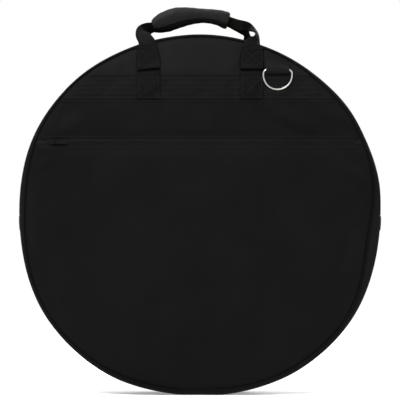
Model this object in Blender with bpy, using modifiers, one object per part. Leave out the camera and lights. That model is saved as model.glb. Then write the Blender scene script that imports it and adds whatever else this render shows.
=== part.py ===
"""A round padded cymbal bag that stands upright on its gusset.

Metres, +Z up. The bag's front faces -Y and its grip is at the top. The origin lies on the flat that the bag
rests on, below the middle of the gusset. Heights named here are measured up from the centre of the round
body, and depths are measured out from its middle plane, to the front and to the back alike.
"""

import math

import bmesh
import bpy
from mathutils import Matrix, Vector

# Round body
BODY_RADIUS = 0.3000
GUSSET_DEPTH = 0.0700
SEAM_INSET = 0.0085
SHOULDER_DEPTH = 0.0110
SHOULDER_KNEE_DEPTH_SHARE = 0.55
SHOULDER_KNEE_RISE_SHARE = 0.70
STEPS = 48

# Panel layers, from the outside in
PANEL_PROUD = 0.0030
PANEL_RIM_INSET = 0.0013
PANEL_ROUNDING = 0.0115
PANEL_EDGE_DROP = 0.0028
PANEL_KNEE_SHARE = 0.74
PANEL_KNEE_DROP_SHARE = 0.36
CLOTH = 0.0010
PANEL_FOAM = 0.0060
GUSSET_FOAM = 0.0045
LINING = 0.0008
FIT_GAP = 0.0003
GUSSET_FOAM_EDGE_SHARE = 0.8

# Piping in the two seams
PIPING_RADIUS = 0.0013
PIPING_SIDES = 6

# Zip round the upper half of the gusset
ZIP_SINK = 0.0047
ZIP_WINDOW = 0.0156
HEM_WIDTH = 0.0020
HEM_ROUNDING = 0.0032
HEM_ROUNDING_DROP = 0.0015
TAPE_WIDTH = 0.0160
TAPE_THICKNESS = 0.0008
COIL_WIDTH = 0.0030
COIL_HEIGHT = 0.0020
END_TAB_LENGTH = 0.0240
END_TAB_WIDTH = 0.0240
END_TAB_THICKNESS = 0.0012

# Zip sliders and their pulls
SLIDER_LENGTH = 0.0130
SLIDER_WIDTH = 0.0095
SLIDER_THICKNESS = 0.0014
SLIDER_TAIL_SHARE = 0.74
SLIDER_ROUNDING = 0.0012
BRIDGE_LENGTH = 0.0056
BRIDGE_WIDTH = 0.0024
BRIDGE_THICKNESS = 0.0008
BRIDGE_ROUNDING = 0.0005
BRIDGE_ROOT = 0.0002
PULL_LENGTH = 0.0220
PULL_WIDTH = 0.0080
PULL_WAIST_SHARE = 0.76
PULL_THICKNESS = 0.0012
PULL_PLAY = 0.0004
PULL_EYE_LENGTH = 0.0050
PULL_EYE_SIDE_PLAY = 0.0005
SLIDER_MEETING_GAP = 0.0010

# Webbing on the front
STRAP_WIDTH = 0.0380
STRAP_THICKNESS = 0.0030
BAND_THICKNESS = 0.0018
PATCH_THICKNESS = 0.0016
ANCHOR_DROP = 0.0125
UPPER_ANCHOR_LENGTH = 0.0360
ANCHOR_SLIT = 0.0030
ANCHOR_SLANT = 0.0024
PATCH_PAST_BAND = 0.0090
BACK_ANCHOR_LENGTH = 0.0850
OVERLAY_INSET = 0.0045

# Front pocket
HEADER_HEIGHT = 0.0650
POCKET_THICKNESS = 0.0020
POCKET_ZIP_WINDOW = 0.0110
POCKET_TAPE_THICKNESS = 0.0008
POCKET_COIL_WIDTH = 0.0024
POCKET_COIL_HEIGHT = 0.0016
POCKET_ZIP_END_INSET = 0.0035
POCKET_SLIDER_END_INSET = 0.0080

# Handle loops and the grip
HANDLE_SPAN = 0.1700
HANDLE_RISE = 0.0510
FRONT_LEAN = 0.0288
BACK_LEAN = 0.0372
GRIP_HEIGHT = 0.0330
GRIP_DEPTH = 0.0210
GRIP_SECTION_SIDES = 12
GRIP_SQUARENESS_SHARE = 0.75
HINGE_CLEARANCE = 0.0002

# D-rings and their tabs
RING_WIDTH = 0.0515
RING_WIRE = 0.0037
RING_CORNER = 0.0060
RING_SIDE = 0.0020
RING_ABOVE_BAND = 0.0098
RING_STRAP_GAP = 0.0012
RING_PLAY = 0.0004
TAB_WIDTH = 0.0340
TAB_HEIGHT = 0.0190
TAB_WEBBING = 0.0016
TAB_TOP_THICKNESS = 0.0035

# Lid
LID_AXIS_CLEARANCE = 0.0003

# Modelling allowances
OVERRUN = 0.0200
MERGE = 0.00001
SMOOTH_ANGLE = math.radians(35)
LOOP_STEPS = 2
HALF_TURN_STEPS = 8
RING_BOW_STEPS = 12
RING_CORNER_STEPS = 3
RING_WIRE_STEPS = 2

# Places that follow from the sizes above
STEP = 2 * math.pi / STEPS
CENTRE_HEIGHT = BODY_RADIUS * math.cos(STEP)
HALF_DEPTH = GUSSET_DEPTH / 2
SEAM_RADIUS = BODY_RADIUS - SEAM_INSET
PANEL_RADIUS = SEAM_RADIUS - PANEL_RIM_INSET
FACE_DEPTH = HALF_DEPTH + PANEL_PROUD
OVERLAY_RADIUS = SEAM_RADIUS - OVERLAY_INSET
OVERLAY_DEPTH = FACE_DEPTH + FIT_GAP
BAND_FACE = OVERLAY_DEPTH + BAND_THICKNESS
POCKET_FACE = OVERLAY_DEPTH + POCKET_THICKNESS
ANCHOR_TOP = SEAM_RADIUS - ANCHOR_DROP
UPPER_ANCHOR_LOW = ANCHOR_TOP - UPPER_ANCHOR_LENGTH
PATCH_TOP = UPPER_ANCHOR_LOW - ANCHOR_SLIT
BAND_TOP = PATCH_TOP - PATCH_PAST_BAND
BAND_LOW = BAND_TOP - STRAP_WIDTH
HEADER_TOP = BAND_LOW - FIT_GAP
HEADER_LOW = HEADER_TOP - HEADER_HEIGHT
POCKET_TOP = HEADER_LOW - POCKET_ZIP_WINDOW
POCKET_ZIP_HEIGHT = (HEADER_LOW + POCKET_TOP) / 2
HALF_SPAN = HANDLE_SPAN / 2
LOOP_START = ANCHOR_TOP + FIT_GAP
LOOP_DEPTH = OVERLAY_DEPTH + STRAP_THICKNESS / 2
TAPE_TOP = BODY_RADIUS - ZIP_SINK
COIL_BASE = TAPE_TOP + FIT_GAP
SLIDER_SEAT = COIL_BASE + COIL_HEIGHT + FIT_GAP
POCKET_COIL_BASE = OVERLAY_DEPTH + POCKET_TAPE_THICKNESS + FIT_GAP
POCKET_SLIDER_SEAT = POCKET_COIL_BASE + POCKET_COIL_HEIGHT + FIT_GAP
PULL_AXIS_HEIGHT = SLIDER_THICKNESS + PULL_PLAY + PULL_THICKNESS / 2
BRIDGE_UNDERSIDE = PULL_AXIS_HEIGHT + PULL_THICKNESS / 2 + PULL_PLAY
RING_X = HALF_SPAN + STRAP_WIDTH / 2 + RING_STRAP_GAP + RING_WIDTH / 2
RING_BAR_HEIGHT = BAND_TOP + RING_ABOVE_BAND
RING_BORE = RING_WIRE / 2 + RING_PLAY
RING_DEPTH = max(OVERLAY_DEPTH + TAB_WEBBING + RING_BORE, BAND_FACE + FIT_GAP + RING_WIRE / 2)
LID_AXIS_DEPTH = POCKET_FACE + LID_AXIS_CLEARANCE
MAIN_SLIDER_ANGLE = math.asin((SLIDER_LENGTH + SLIDER_MEETING_GAP) / 2 / SLIDER_SEAT)
POCKET_SLIDER_X = -(
    math.sqrt(OVERLAY_RADIUS**2 - HEADER_LOW**2) - POCKET_SLIDER_END_INSET - SLIDER_LENGTH / 2
)

# The front loop's middle line from its left end to its right, as seen from the front. Each row holds shares
# of half the span, of the rise, of the strap's width, of the lean towards the middle of the bag, and of the
# quarter turn that lays the strap edge on.
FRONT_LEFT_LEG_SHARES = (
    (-1.03, 0.00, 0.86, 0.00, 0.00),
    (-1.03, 0.10, 0.76, 0.00, 0.00),
    (-1.07, 0.23, 0.66, 0.10, 0.00),
    (-1.13, 0.38, 0.57, 0.40, 0.00),
    (-1.13, 0.53, 0.50, 0.70, 0.00),
    (-1.04, 0.62, 0.45, 0.92, 0.00),
)
GRIP_LINE_SHARES = (
    (-0.92, 0.66, 0.42, 1.00, 0.00),
    (-0.70, 0.80, 0.42, 1.00, 0.00),
    (-0.45, 0.93, 0.42, 1.00, 0.00),
    (-0.20, 0.99, 0.42, 1.00, 0.00),
    (0.06, 1.00, 0.42, 1.00, 0.00),
    (0.34, 0.95, 0.42, 1.00, 0.00),
    (0.56, 0.83, 0.42, 1.00, 0.00),
)
FRONT_RIGHT_LEG_SHARES = (
    (0.74, 0.72, 0.46, 0.96, 0.00),
    (0.91, 0.62, 0.44, 0.76, 0.25),
    (1.05, 0.46, 0.32, 0.50, 0.80),
    (1.05, 0.29, 0.42, 0.22, 0.60),
    (1.02, 0.13, 0.70, 0.02, 0.04),
    (1.02, 0.00, 0.92, 0.00, 0.00),
)
BACK_LEFT_LEG_SHARES = (
    (-1.03, 0.00, 0.86, 0.00, 0.00),
    (-1.03, 0.13, 0.76, 0.00, 0.00),
    (-1.06, 0.26, 0.64, 0.08, 0.00),
    (-1.11, 0.40, 0.52, 0.42, 0.00),
    (-1.08, 0.54, 0.50, 0.72, 0.00),
    (-1.00, 0.62, 0.46, 0.94, 0.00),
)
BACK_RIGHT_LEG_SHARES = (
    (0.73, 0.71, 0.46, 0.96, 0.00),
    (0.85, 0.61, 0.46, 0.76, 0.10),
    (0.93, 0.46, 0.40, 0.42, 0.50),
    (0.96, 0.30, 0.46, 0.07, 0.14),
    (0.99, 0.15, 0.74, 0.00, 0.00),
    (1.00, 0.00, 1.00, 0.00, 0.00),
)
# Half heights of the padded grip along its line, as shares of its height.
GRIP_SWELL_SHARES = (0.30, 0.44, 0.50, 0.42, 0.32, 0.36, 0.42)


def collection(name):
    """A new collection under the scene."""
    made = bpy.data.collections.new(name)
    bpy.context.scene.collection.children.link(made)
    return made


def finish(name, color, roughness, metallic=0.0):
    """A material with one Principled shader."""
    made = bpy.data.materials.new(name)
    made.use_nodes = True
    shader = made.node_tree.nodes["Principled BSDF"]
    shader.inputs["Base Color"].default_value = (*color, 1)
    shader.inputs["Roughness"].default_value = roughness
    shader.inputs["Metallic"].default_value = metallic
    made.diffuse_color = (*color, 1)
    return made


def place(name, data, look, location=(0, 0, 0), turn=(0, 0, 0)):
    """Put a mesh or curve in the bag's collection as a named piece."""
    piece = bpy.data.objects.new(name, data)
    parts.objects.link(piece)
    if look is not None:
        data.materials.append(look)
    piece.location = location
    piece.rotation_euler = turn
    return piece


def as_cutter(piece):
    """Make a piece a cutter, which is not part of the bag."""
    parts.objects.unlink(piece)
    cutters.objects.link(piece)
    piece.hide_render = True
    piece.display_type = "WIRE"
    return piece


def evaluated_mesh(piece):
    """The piece's mesh with its modifiers applied."""
    bpy.context.view_layer.update()
    graph = bpy.context.evaluated_depsgraph_get()
    return bpy.data.meshes.new_from_object(piece.evaluated_get(graph))


def tidy_mesh(mesh):
    """Weld the seams of a closed mesh, face it outwards and shade its round parts smooth."""
    work = bmesh.new()
    work.from_mesh(mesh)
    bmesh.ops.remove_doubles(work, verts=work.verts, dist=MERGE)
    bmesh.ops.recalc_face_normals(work, faces=work.faces)
    work.to_mesh(mesh)
    work.free()
    mesh.shade_smooth()
    mesh.set_sharp_from_angle(angle=SMOOTH_ANGLE)


def as_mesh(piece):
    """Turn a curve, or a piece with modifiers, into a plain mesh piece of the same name and place."""
    mesh = evaluated_mesh(piece)
    name = piece.name
    location, turn = piece.location.copy(), piece.rotation_euler.copy()
    bpy.data.objects.remove(piece)
    tidy_mesh(mesh)
    mesh.name = name
    return place(name, mesh, None, location, turn)


def combine(piece, tool, operation):
    """Cut a piece with a tool, or join them, by an exact Boolean that stays on the piece."""
    step = piece.modifiers.new(operation.lower(), "BOOLEAN")
    step.operation = operation
    step.object = tool
    step.solver = "EXACT"
    return piece


def parallel_line(points, distance):
    """The line that runs at a distance inside a line of (radius, depth) points."""
    normals = []
    for (x0, y0), (x1, y1) in zip(points, points[1:]):
        length = math.hypot(x1 - x0, y1 - y0)
        normals.append(((y1 - y0) / length, -(x1 - x0) / length))
    made = []
    for index, (x, y) in enumerate(points):
        before = normals[max(index - 1, 0)]
        after = normals[min(index, len(normals) - 1)]
        spread = 1 + before[0] * after[0] + before[1] * after[1]
        made.append(
            (
                x + distance * (before[0] + after[0]) / spread,
                y + distance * (before[1] + after[1]) / spread,
            )
        )
    return made


def skin(points, near, far):
    """The closed outline of a layer between two lines parallel to a line."""
    return parallel_line(points, near) + parallel_line(points, far)[::-1]


def settle(mesh):
    """Press the lowest facets of a turned piece flat, as the standing bag's own weight does."""
    for vertex in mesh.vertices:
        radius = math.hypot(vertex.co.x, vertex.co.z)
        vertex.co.z = max(vertex.co.z, -radius * math.cos(STEP))


def turned(name, profile, look, side=1, closed=True):
    """Turn a profile of (radius, depth) points about the bag's axis. Side -1 is the front, 1 the back."""
    mesh = bpy.data.meshes.new(name)
    count = len(profile)
    edges = [(index, (index + 1) % count) for index in range(count if closed else count - 1)]
    mesh.from_pydata([(radius, side * depth, 0) for radius, depth in profile], edges, [])
    piece = place(name, mesh, look, (0, 0, CENTRE_HEIGHT))
    turn = piece.modifiers.new("turn", "SCREW")
    turn.axis = "Y"
    turn.angle = 2 * math.pi
    turn.steps = turn.render_steps = STEPS
    turn.use_merge_vertices = True
    turn.merge_threshold = MERGE
    piece = as_mesh(piece)
    settle(piece.data)
    return piece


def flat_piece(name, outlines, thickness, look):
    """A flat piece from closed outlines of (x, y) points. Each outline after the first is a hole."""
    curve = bpy.data.curves.new(name, "CURVE")
    curve.dimensions = "2D"
    curve.fill_mode = "BOTH"
    curve.extrude = thickness / 2
    for outline in outlines:
        spline = curve.splines.new("POLY")
        spline.points.add(len(outline) - 1)
        for point, (x, y) in zip(spline.points, outline):
            point.co = (x, y, 0, 1)
        spline.use_cyclic_u = True
    return place(name, curve, look)


def on_face(piece, side, depth, thickness):
    """Stand a flat piece on the front (-1) or the back (1), its inner face at a depth."""
    piece.location = (0, side * (depth + thickness / 2), CENTRE_HEIGHT)
    piece.rotation_euler = (math.pi / 2, 0, 0)
    return piece


def box(name, size, look, location=(0, 0, 0), turn=(0, 0, 0)):
    """A box of a size, centred on its location."""
    work = bmesh.new()
    bmesh.ops.create_cube(work, size=1)
    bmesh.ops.scale(work, vec=size, verts=work.verts)
    mesh = bpy.data.meshes.new(name)
    work.to_mesh(mesh)
    work.free()
    return place(name, mesh, look, location, turn)


def rectangle(middle, low, high, width):
    """The outline of an upright rectangle between two heights."""
    left, right = middle - width / 2, middle + width / 2
    return [(left, low), (right, low), (right, high), (left, high)]


def arc(centre, radius, start, end, steps):
    """Points along an arc about a centre, both ends included."""
    return [
        (
            centre[0] + radius * math.cos(start + (end - start) * index / steps),
            centre[1] + radius * math.sin(start + (end - start) * index / steps),
        )
        for index in range(steps + 1)
    ]


def disc_slice(radius, low, high):
    """The outline of the slice of a disc between two heights, its base pressed flat like the bag's."""
    base = -radius * math.cos(STEP)
    low = max(low, base)
    steps = max(2, round((math.asin(high / radius) - math.asin(low / radius)) / STEP))
    right = arc((0, 0), radius, math.asin(low / radius), math.asin(high / radius), steps)
    return right + [(-x, y) for x, y in reversed(right)]


def make_halving_cutters():
    """Boxes that leave the half of the bag above or below the fold, half the fit gap away from it."""
    span = 2 * (BODY_RADIUS + OVERRUN)
    size = (span, span, span)
    shift = span / 2 - FIT_GAP / 2
    below = box("cut_below_fold", size, None, (0, 0, CENTRE_HEIGHT - shift))
    above = box("cut_above_fold", size, None, (0, 0, CENTRE_HEIGHT + shift))
    return as_cutter(below), as_cutter(above)


def upper_half(piece):
    """Keep what lies above the fold."""
    return combine(piece, below_fold, "DIFFERENCE")


def lower_half(piece):
    """Keep what lies below the fold."""
    return combine(piece, above_fold, "DIFFERENCE")


def panel_line():
    """The outer surface of a panel, from the bag's axis to its rim, as (radius, depth) points."""
    start = PANEL_RADIUS - PANEL_ROUNDING
    knee = start + PANEL_ROUNDING * PANEL_KNEE_SHARE
    return [
        (0, FACE_DEPTH),
        (start, FACE_DEPTH),
        (knee, FACE_DEPTH - PANEL_EDGE_DROP * PANEL_KNEE_DROP_SHARE),
        (PANEL_RADIUS, FACE_DEPTH - PANEL_EDGE_DROP),
    ]


def panel_layers(name, side, half=None):
    """The cloth, foam and lining of one panel, whole or halved."""
    line = panel_line()
    foam_top = CLOTH + FIT_GAP
    foam_line = parallel_line(line, foam_top)
    foam_radius = foam_line[-1][0]
    foam_base = FACE_DEPTH - foam_top - PANEL_FOAM
    lining_top = foam_base - FIT_GAP
    profiles = {
        "cloth": line + parallel_line(line, CLOTH)[::-1],
        "foam": foam_line + [(foam_radius, foam_base), (0, foam_base)],
        "lining": [
            (0, lining_top),
            (foam_radius, lining_top),
            (foam_radius, lining_top - LINING),
            (0, lining_top - LINING),
        ],
    }
    looks = {"cloth": nylon, "foam": foam, "lining": lining}
    pieces = []
    for layer, profile in profiles.items():
        piece = turned(f"{name}_{layer}", profile, looks[layer], side, closed=False)
        pieces.append(half(piece) if half else piece)
    return pieces


def gusset_line():
    """The outer surface of the gusset from its front seam to its back seam, as (radius, depth) points."""
    flat = HALF_DEPTH - SHOULDER_DEPTH
    knee = (
        SEAM_RADIUS + SEAM_INSET * SHOULDER_KNEE_RISE_SHARE,
        HALF_DEPTH - SHOULDER_DEPTH * SHOULDER_KNEE_DEPTH_SHARE,
    )
    half = [(SEAM_RADIUS, HALF_DEPTH), knee, (BODY_RADIUS, flat)]
    return [(radius, -depth) for radius, depth in half] + half[::-1]


def between(start, end, share):
    """The point a share of the way from one point to another."""
    return tuple(a + (b - a) * share for a, b in zip(start, end))


def lower_gusset():
    """The padded gusset round the lower half, which the bag stands on."""
    line = gusset_line()
    front = between(line[2], line[1], GUSSET_FOAM_EDGE_SHARE)
    back = between(line[3], line[4], GUSSET_FOAM_EDGE_SHARE)
    padded = [front, line[2], line[3], back]
    foam_top = CLOTH + FIT_GAP
    lining_top = foam_top + GUSSET_FOAM + FIT_GAP
    lower_half(turned("gusset_lower_cloth", skin(line, 0, -CLOTH), nylon))
    lower_half(turned("gusset_lower_foam", skin(padded, -foam_top, -foam_top - GUSSET_FOAM), foam))
    lower_half(turned("gusset_lower_lining", skin(padded, -lining_top, -lining_top - LINING), lining))


def gusset_strip(name, side):
    """The cloth strip between a panel's seam and the zip, hemmed along the zip."""
    _, _, _, flat, knee, seam = gusset_line()
    edge = ZIP_WINDOW / 2
    bend = (BODY_RADIUS, edge + HEM_ROUNDING)
    outer = [seam, knee, flat, bend]
    hem_base = TAPE_TOP + FIT_GAP
    hem = [
        (BODY_RADIUS - HEM_ROUNDING_DROP, edge),
        (hem_base, edge),
        (hem_base, edge + HEM_WIDTH),
    ]
    profile = outer + hem + parallel_line(outer, CLOTH)[::-1]
    return upper_half(turned(name, profile, nylon, side))


def zip_half(side_name, side):
    """One tape of the main zip with its row of coil teeth."""
    start = FIT_GAP / 2
    tape = [
        (TAPE_TOP, start),
        (TAPE_TOP, start + TAPE_WIDTH),
        (TAPE_TOP - TAPE_THICKNESS, start + TAPE_WIDTH),
        (TAPE_TOP - TAPE_THICKNESS, start),
    ]
    coil = [
        (COIL_BASE, start),
        (COIL_BASE, start + COIL_WIDTH),
        (COIL_BASE + COIL_HEIGHT, start + COIL_WIDTH),
        (COIL_BASE + COIL_HEIGHT, start),
    ]
    return [
        upper_half(turned(f"zip_tape_{side_name}", tape, tape_cloth, side)),
        upper_half(turned(f"zip_coil_{side_name}", coil, coil_nylon, side)),
    ]


def piping(name, side, half=None):
    """The covered cord in a panel's seam."""
    centre = (SEAM_RADIUS + FIT_GAP, HALF_DEPTH + PIPING_RADIUS + FIT_GAP)
    profile = arc(centre, PIPING_RADIUS, 0, 2 * math.pi, PIPING_SIDES)[:-1]
    piece = turned(name, profile, nylon, side)
    return half(piece) if half else piece


def zip_end_tabs():
    """A webbing tab over each end of the main zip, on the gusset just below the fold."""
    seat = BODY_RADIUS * math.cos(STEP / 2) + FIT_GAP
    radius = seat + END_TAB_THICKNESS / 2
    drop = FIT_GAP + END_TAB_LENGTH / 2
    along = drop - BODY_RADIUS * math.sin(STEP / 2)
    for name, side in (("left", -1), ("right", 1)):
        angle = math.pi / 2 + STEP / 2
        outward = Vector((side * math.sin(angle), 0, math.cos(angle)))
        down = Vector((side * math.cos(angle), 0, -math.sin(angle)))
        centre = outward * radius + down * along
        size = (END_TAB_LENGTH, END_TAB_WIDTH, END_TAB_THICKNESS)
        centre.z += CENTRE_HEIGHT
        box(f"zip_end_tab_{name}", size, webbing, centre, (0, side * angle, 0))


def slider_body(name, location, turn):
    """A zip slider: its top plate and the arched bridge that holds the pull. Its length is local X."""
    nose, tail = SLIDER_WIDTH / 2, SLIDER_WIDTH * SLIDER_TAIL_SHARE / 2
    front, rear = -SLIDER_LENGTH / 2, SLIDER_LENGTH / 2
    plan = arc((front + nose, 0), nose, math.pi / 2, 3 * math.pi / 2, HALF_TURN_STEPS)
    plan += [(rear - SLIDER_ROUNDING, -tail), (rear, SLIDER_ROUNDING - tail)]
    plan += [(rear, tail - SLIDER_ROUNDING), (rear - SLIDER_ROUNDING, tail)]
    plate = flat_piece(name, [plan], SLIDER_THICKNESS, slider_metal)
    plate = as_mesh(plate)
    plate.data.transform(Matrix.Translation((0, 0, SLIDER_THICKNESS / 2)))
    low = SLIDER_THICKNESS - BRIDGE_ROOT
    half_length = BRIDGE_LENGTH / 2
    inside = half_length - BRIDGE_THICKNESS
    top = BRIDGE_UNDERSIDE + BRIDGE_THICKNESS
    outline = [
        (-half_length, low),
        (-inside, low),
        (-inside, BRIDGE_UNDERSIDE),
        (inside, BRIDGE_UNDERSIDE),
        (inside, low),
        (half_length, low),
        (half_length, top - BRIDGE_ROUNDING),
        (half_length - BRIDGE_ROUNDING, top),
        (BRIDGE_ROUNDING - half_length, top),
        (-half_length, top - BRIDGE_ROUNDING),
    ]
    bridge = flat_piece(f"{name}_bridge", [outline], BRIDGE_WIDTH, slider_metal)
    bridge.rotation_euler = (math.pi / 2, 0, 0)
    bridge = as_cutter(as_mesh(bridge))
    body = as_mesh(combine(plate, bridge, "UNION"))
    body.location = location
    body.rotation_euler = turn
    return body


def slider_pull(name, location, turn):
    """The flat pull on a slider, with the eye that the bridge passes through. Its length is local X."""
    bar = PULL_THICKNESS / 2
    half = PULL_WIDTH / 2
    waist = half * PULL_WAIST_SHARE
    tip = PULL_LENGTH - half
    tab = [(-bar, -waist), (PULL_EYE_LENGTH, -waist), (tip, -half)]
    tab += arc((tip, 0), half, -math.pi / 2, math.pi / 2, HALF_TURN_STEPS)[1:-1]
    tab += [(tip, half), (PULL_EYE_LENGTH, waist), (-bar, waist)]
    eye_half = BRIDGE_WIDTH / 2 + PULL_EYE_SIDE_PLAY
    eye = [(bar, -eye_half), (PULL_EYE_LENGTH, -eye_half), (PULL_EYE_LENGTH, eye_half), (bar, eye_half)]
    pull = flat_piece(name, [tab, eye], PULL_THICKNESS, slider_metal)
    pull.location = location
    pull.rotation_euler = turn
    return pull


def main_slider(name, side):
    """A slider of the main zip beside the top of the bag, with its pull lying away from the middle."""
    angle = MAIN_SLIDER_ANGLE
    outward = Vector((side * math.sin(angle), 0, math.cos(angle)))
    turn = (0, angle, 0 if side > 0 else math.pi)
    centre = Vector((0, 0, CENTRE_HEIGHT))
    seat = centre + outward * SLIDER_SEAT
    hinge = centre + outward * (SLIDER_SEAT + PULL_AXIS_HEIGHT)
    return (
        slider_body(f"{name}_slider", seat, turn),
        slider_pull(f"{name}_pull", hinge, turn),
    )


def pocket_slider():
    """The slider at the left end of the pocket's zip, with its pull lying along the zip."""
    height = CENTRE_HEIGHT + POCKET_ZIP_HEIGHT
    turn = (math.pi / 2, 0, 0)
    seat = (POCKET_SLIDER_X, -POCKET_SLIDER_SEAT, height)
    hinge = (POCKET_SLIDER_X, -POCKET_SLIDER_SEAT - PULL_AXIS_HEIGHT, height)
    return slider_body("pocket_slider", seat, turn), slider_pull("pocket_pull", hinge, turn)


def pocket():
    """The flat front pocket: the header above its zip, the zip and the face below it, split at the fold."""
    header = flat_piece(
        "pocket_header", [disc_slice(OVERLAY_RADIUS, HEADER_LOW, HEADER_TOP)], POCKET_THICKNESS, nylon
    )
    on_face(header, -1, OVERLAY_DEPTH, POCKET_THICKNESS)
    upper = flat_piece(
        "pocket_face_upper", [disc_slice(OVERLAY_RADIUS, FIT_GAP / 2, POCKET_TOP)], POCKET_THICKNESS, nylon
    )
    on_face(upper, -1, OVERLAY_DEPTH, POCKET_THICKNESS)
    lower = flat_piece(
        "pocket_face_lower",
        [disc_slice(OVERLAY_RADIUS, -OVERLAY_RADIUS, -FIT_GAP / 2)],
        POCKET_THICKNESS,
        nylon,
    )
    on_face(lower, -1, OVERLAY_DEPTH, POCKET_THICKNESS)
    reach = 2 * (math.sqrt(OVERLAY_RADIUS**2 - HEADER_LOW**2) - POCKET_ZIP_END_INSET)
    middle = POCKET_ZIP_HEIGHT
    upper_edge = middle + FIT_GAP / 2
    lower_edge = middle - FIT_GAP / 2
    rows = {
        "upper": (upper_edge, HEADER_LOW - FIT_GAP, upper_edge, upper_edge + POCKET_COIL_WIDTH),
        "lower": (POCKET_TOP + FIT_GAP, lower_edge, lower_edge - POCKET_COIL_WIDTH, lower_edge),
    }
    pieces = [header, upper]
    for name, (tape_low, tape_high, coil_low, coil_high) in rows.items():
        outline = rectangle(0, tape_low, tape_high, reach)
        tape = flat_piece(f"pocket_tape_{name}", [outline], POCKET_TAPE_THICKNESS, tape_cloth)
        pieces.append(on_face(tape, -1, OVERLAY_DEPTH, POCKET_TAPE_THICKNESS))
        outline = rectangle(0, coil_low, coil_high, reach)
        coil = flat_piece(f"pocket_coil_{name}", [outline], POCKET_COIL_HEIGHT, coil_nylon)
        pieces.append(on_face(coil, -1, POCKET_COIL_BASE, POCKET_COIL_HEIGHT))
    return pieces


def front_webbing():
    """The band across the front, the patches sewn over it and the doubled strap ends above them."""
    outline = disc_slice(OVERLAY_RADIUS, BAND_LOW, BAND_TOP)
    band = flat_piece("webbing_band", [outline], BAND_THICKNESS, webbing)
    on_face(band, -1, OVERLAY_DEPTH, BAND_THICKNESS)
    pieces = [band]
    for name, middle, slant in (("left", -HALF_SPAN, ANCHOR_SLANT), ("right", HALF_SPAN, 0)):
        patch = flat_piece(
            f"strap_patch_{name}",
            [rectangle(middle, BAND_LOW, PATCH_TOP, STRAP_WIDTH)],
            PATCH_THICKNESS,
            webbing,
        )
        pieces.append(on_face(patch, -1, BAND_FACE + FIT_GAP, PATCH_THICKNESS))
        (left, low), (right, _), *top = rectangle(middle, UPPER_ANCHOR_LOW, ANCHOR_TOP, STRAP_WIDTH)
        outline = [(left, low - slant), (right, low + slant), *top]
        anchor = flat_piece(f"front_anchor_{name}", [outline], STRAP_THICKNESS, webbing)
        pieces.append(on_face(anchor, -1, OVERLAY_DEPTH, STRAP_THICKNESS))
    return pieces


def back_anchors():
    """The strap ends of the back handle, sewn to the back panel."""
    for name, middle in (("left", -HALF_SPAN), ("right", HALF_SPAN)):
        anchor = flat_piece(
            f"back_anchor_{name}",
            [rectangle(middle, ANCHOR_TOP - BACK_ANCHOR_LENGTH, ANCHOR_TOP, STRAP_WIDTH)],
            STRAP_THICKNESS,
            webbing,
        )
        on_face(anchor, 1, OVERLAY_DEPTH, STRAP_THICKNESS)


def eased(before, start, end, after, share):
    """A value a share of the way along a Catmull-Rom curve from the start value to the end value."""
    slope = end - before
    bend = 2 * before - 5 * start + 4 * end - after
    twist = 3 * start - 3 * end + after - before
    return (2 * start + slope * share + bend * share**2 + twist * share**3) / 2


def smooth_rows(rows):
    """Rows of shares with more of them between, along a smooth curve through the given ones."""
    made = []
    for index in range(len(rows) - 1):
        before = rows[max(index - 1, 0)]
        start, end = rows[index], rows[index + 1]
        after = rows[min(index + 2, len(rows) - 1)]
        for step in range(LOOP_STEPS):
            share = step / LOOP_STEPS
            made.append(tuple(eased(*values, share) for values in zip(before, start, end, after)))
    made.append(rows[-1])
    return made


def loop_stations(rows, side, lean):
    """The places along a handle loop: middle point, way across the strap and strap width."""
    middles = [
        Vector((x * HALF_SPAN, side * (LOOP_DEPTH - bend * lean), LOOP_START + rise * HANDLE_RISE))
        for x, rise, _, bend, _ in rows
    ]
    stations = []
    for index, (row, middle) in enumerate(zip(rows, middles)):
        before, after = middles[max(index - 1, 0)], middles[min(index + 1, len(rows) - 1)]
        along = Vector((after.x - before.x, 0, after.z - before.z)).normalized()
        if index in (0, len(rows) - 1):
            along = Vector((0, 0, 1 if index == 0 else -1))
        turn = row[4] * math.pi / 2
        across = Vector((-along.z, 0, along.x)) * math.cos(turn) + Vector((0, math.sin(turn), 0))
        stations.append((middle, across, row[2] * STRAP_WIDTH))
    return stations


def ribbon(name, stations, thickness, margin, look):
    """A webbing strap of changing width along its stations, with a margin all round if it is a cutter."""
    work = bmesh.new()
    rows = []
    for middle, normal, width in stations:
        reach = normal * (width / 2 + margin)
        rows.append((work.verts.new(middle - reach), work.verts.new(middle + reach)))
    for (low, high), (next_low, next_high) in zip(rows, rows[1:]):
        work.faces.new((low, next_low, next_high, high))
    mesh = bpy.data.meshes.new(name)
    work.to_mesh(mesh)
    work.free()
    strap = place(name, mesh, look, (0, 0, CENTRE_HEIGHT))
    shell = strap.modifiers.new("thickness", "SOLIDIFY")
    shell.thickness = thickness + 2 * margin
    shell.offset = 0
    return as_mesh(strap)


def grip_section(middle, normal, half_height):
    """The rounded outline of the grip across its line."""
    points = []
    for index in range(GRIP_SECTION_SIDES):
        angle = 2 * math.pi * index / GRIP_SECTION_SIDES
        depth, height = math.cos(angle), math.sin(angle)
        depth = math.copysign(abs(depth) ** GRIP_SQUARENESS_SHARE, depth)
        height = math.copysign(abs(height) ** GRIP_SQUARENESS_SHARE, height)
        points.append(middle + Vector((0, depth * GRIP_DEPTH / 2, 0)) + normal * height * half_height)
    return points


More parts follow.
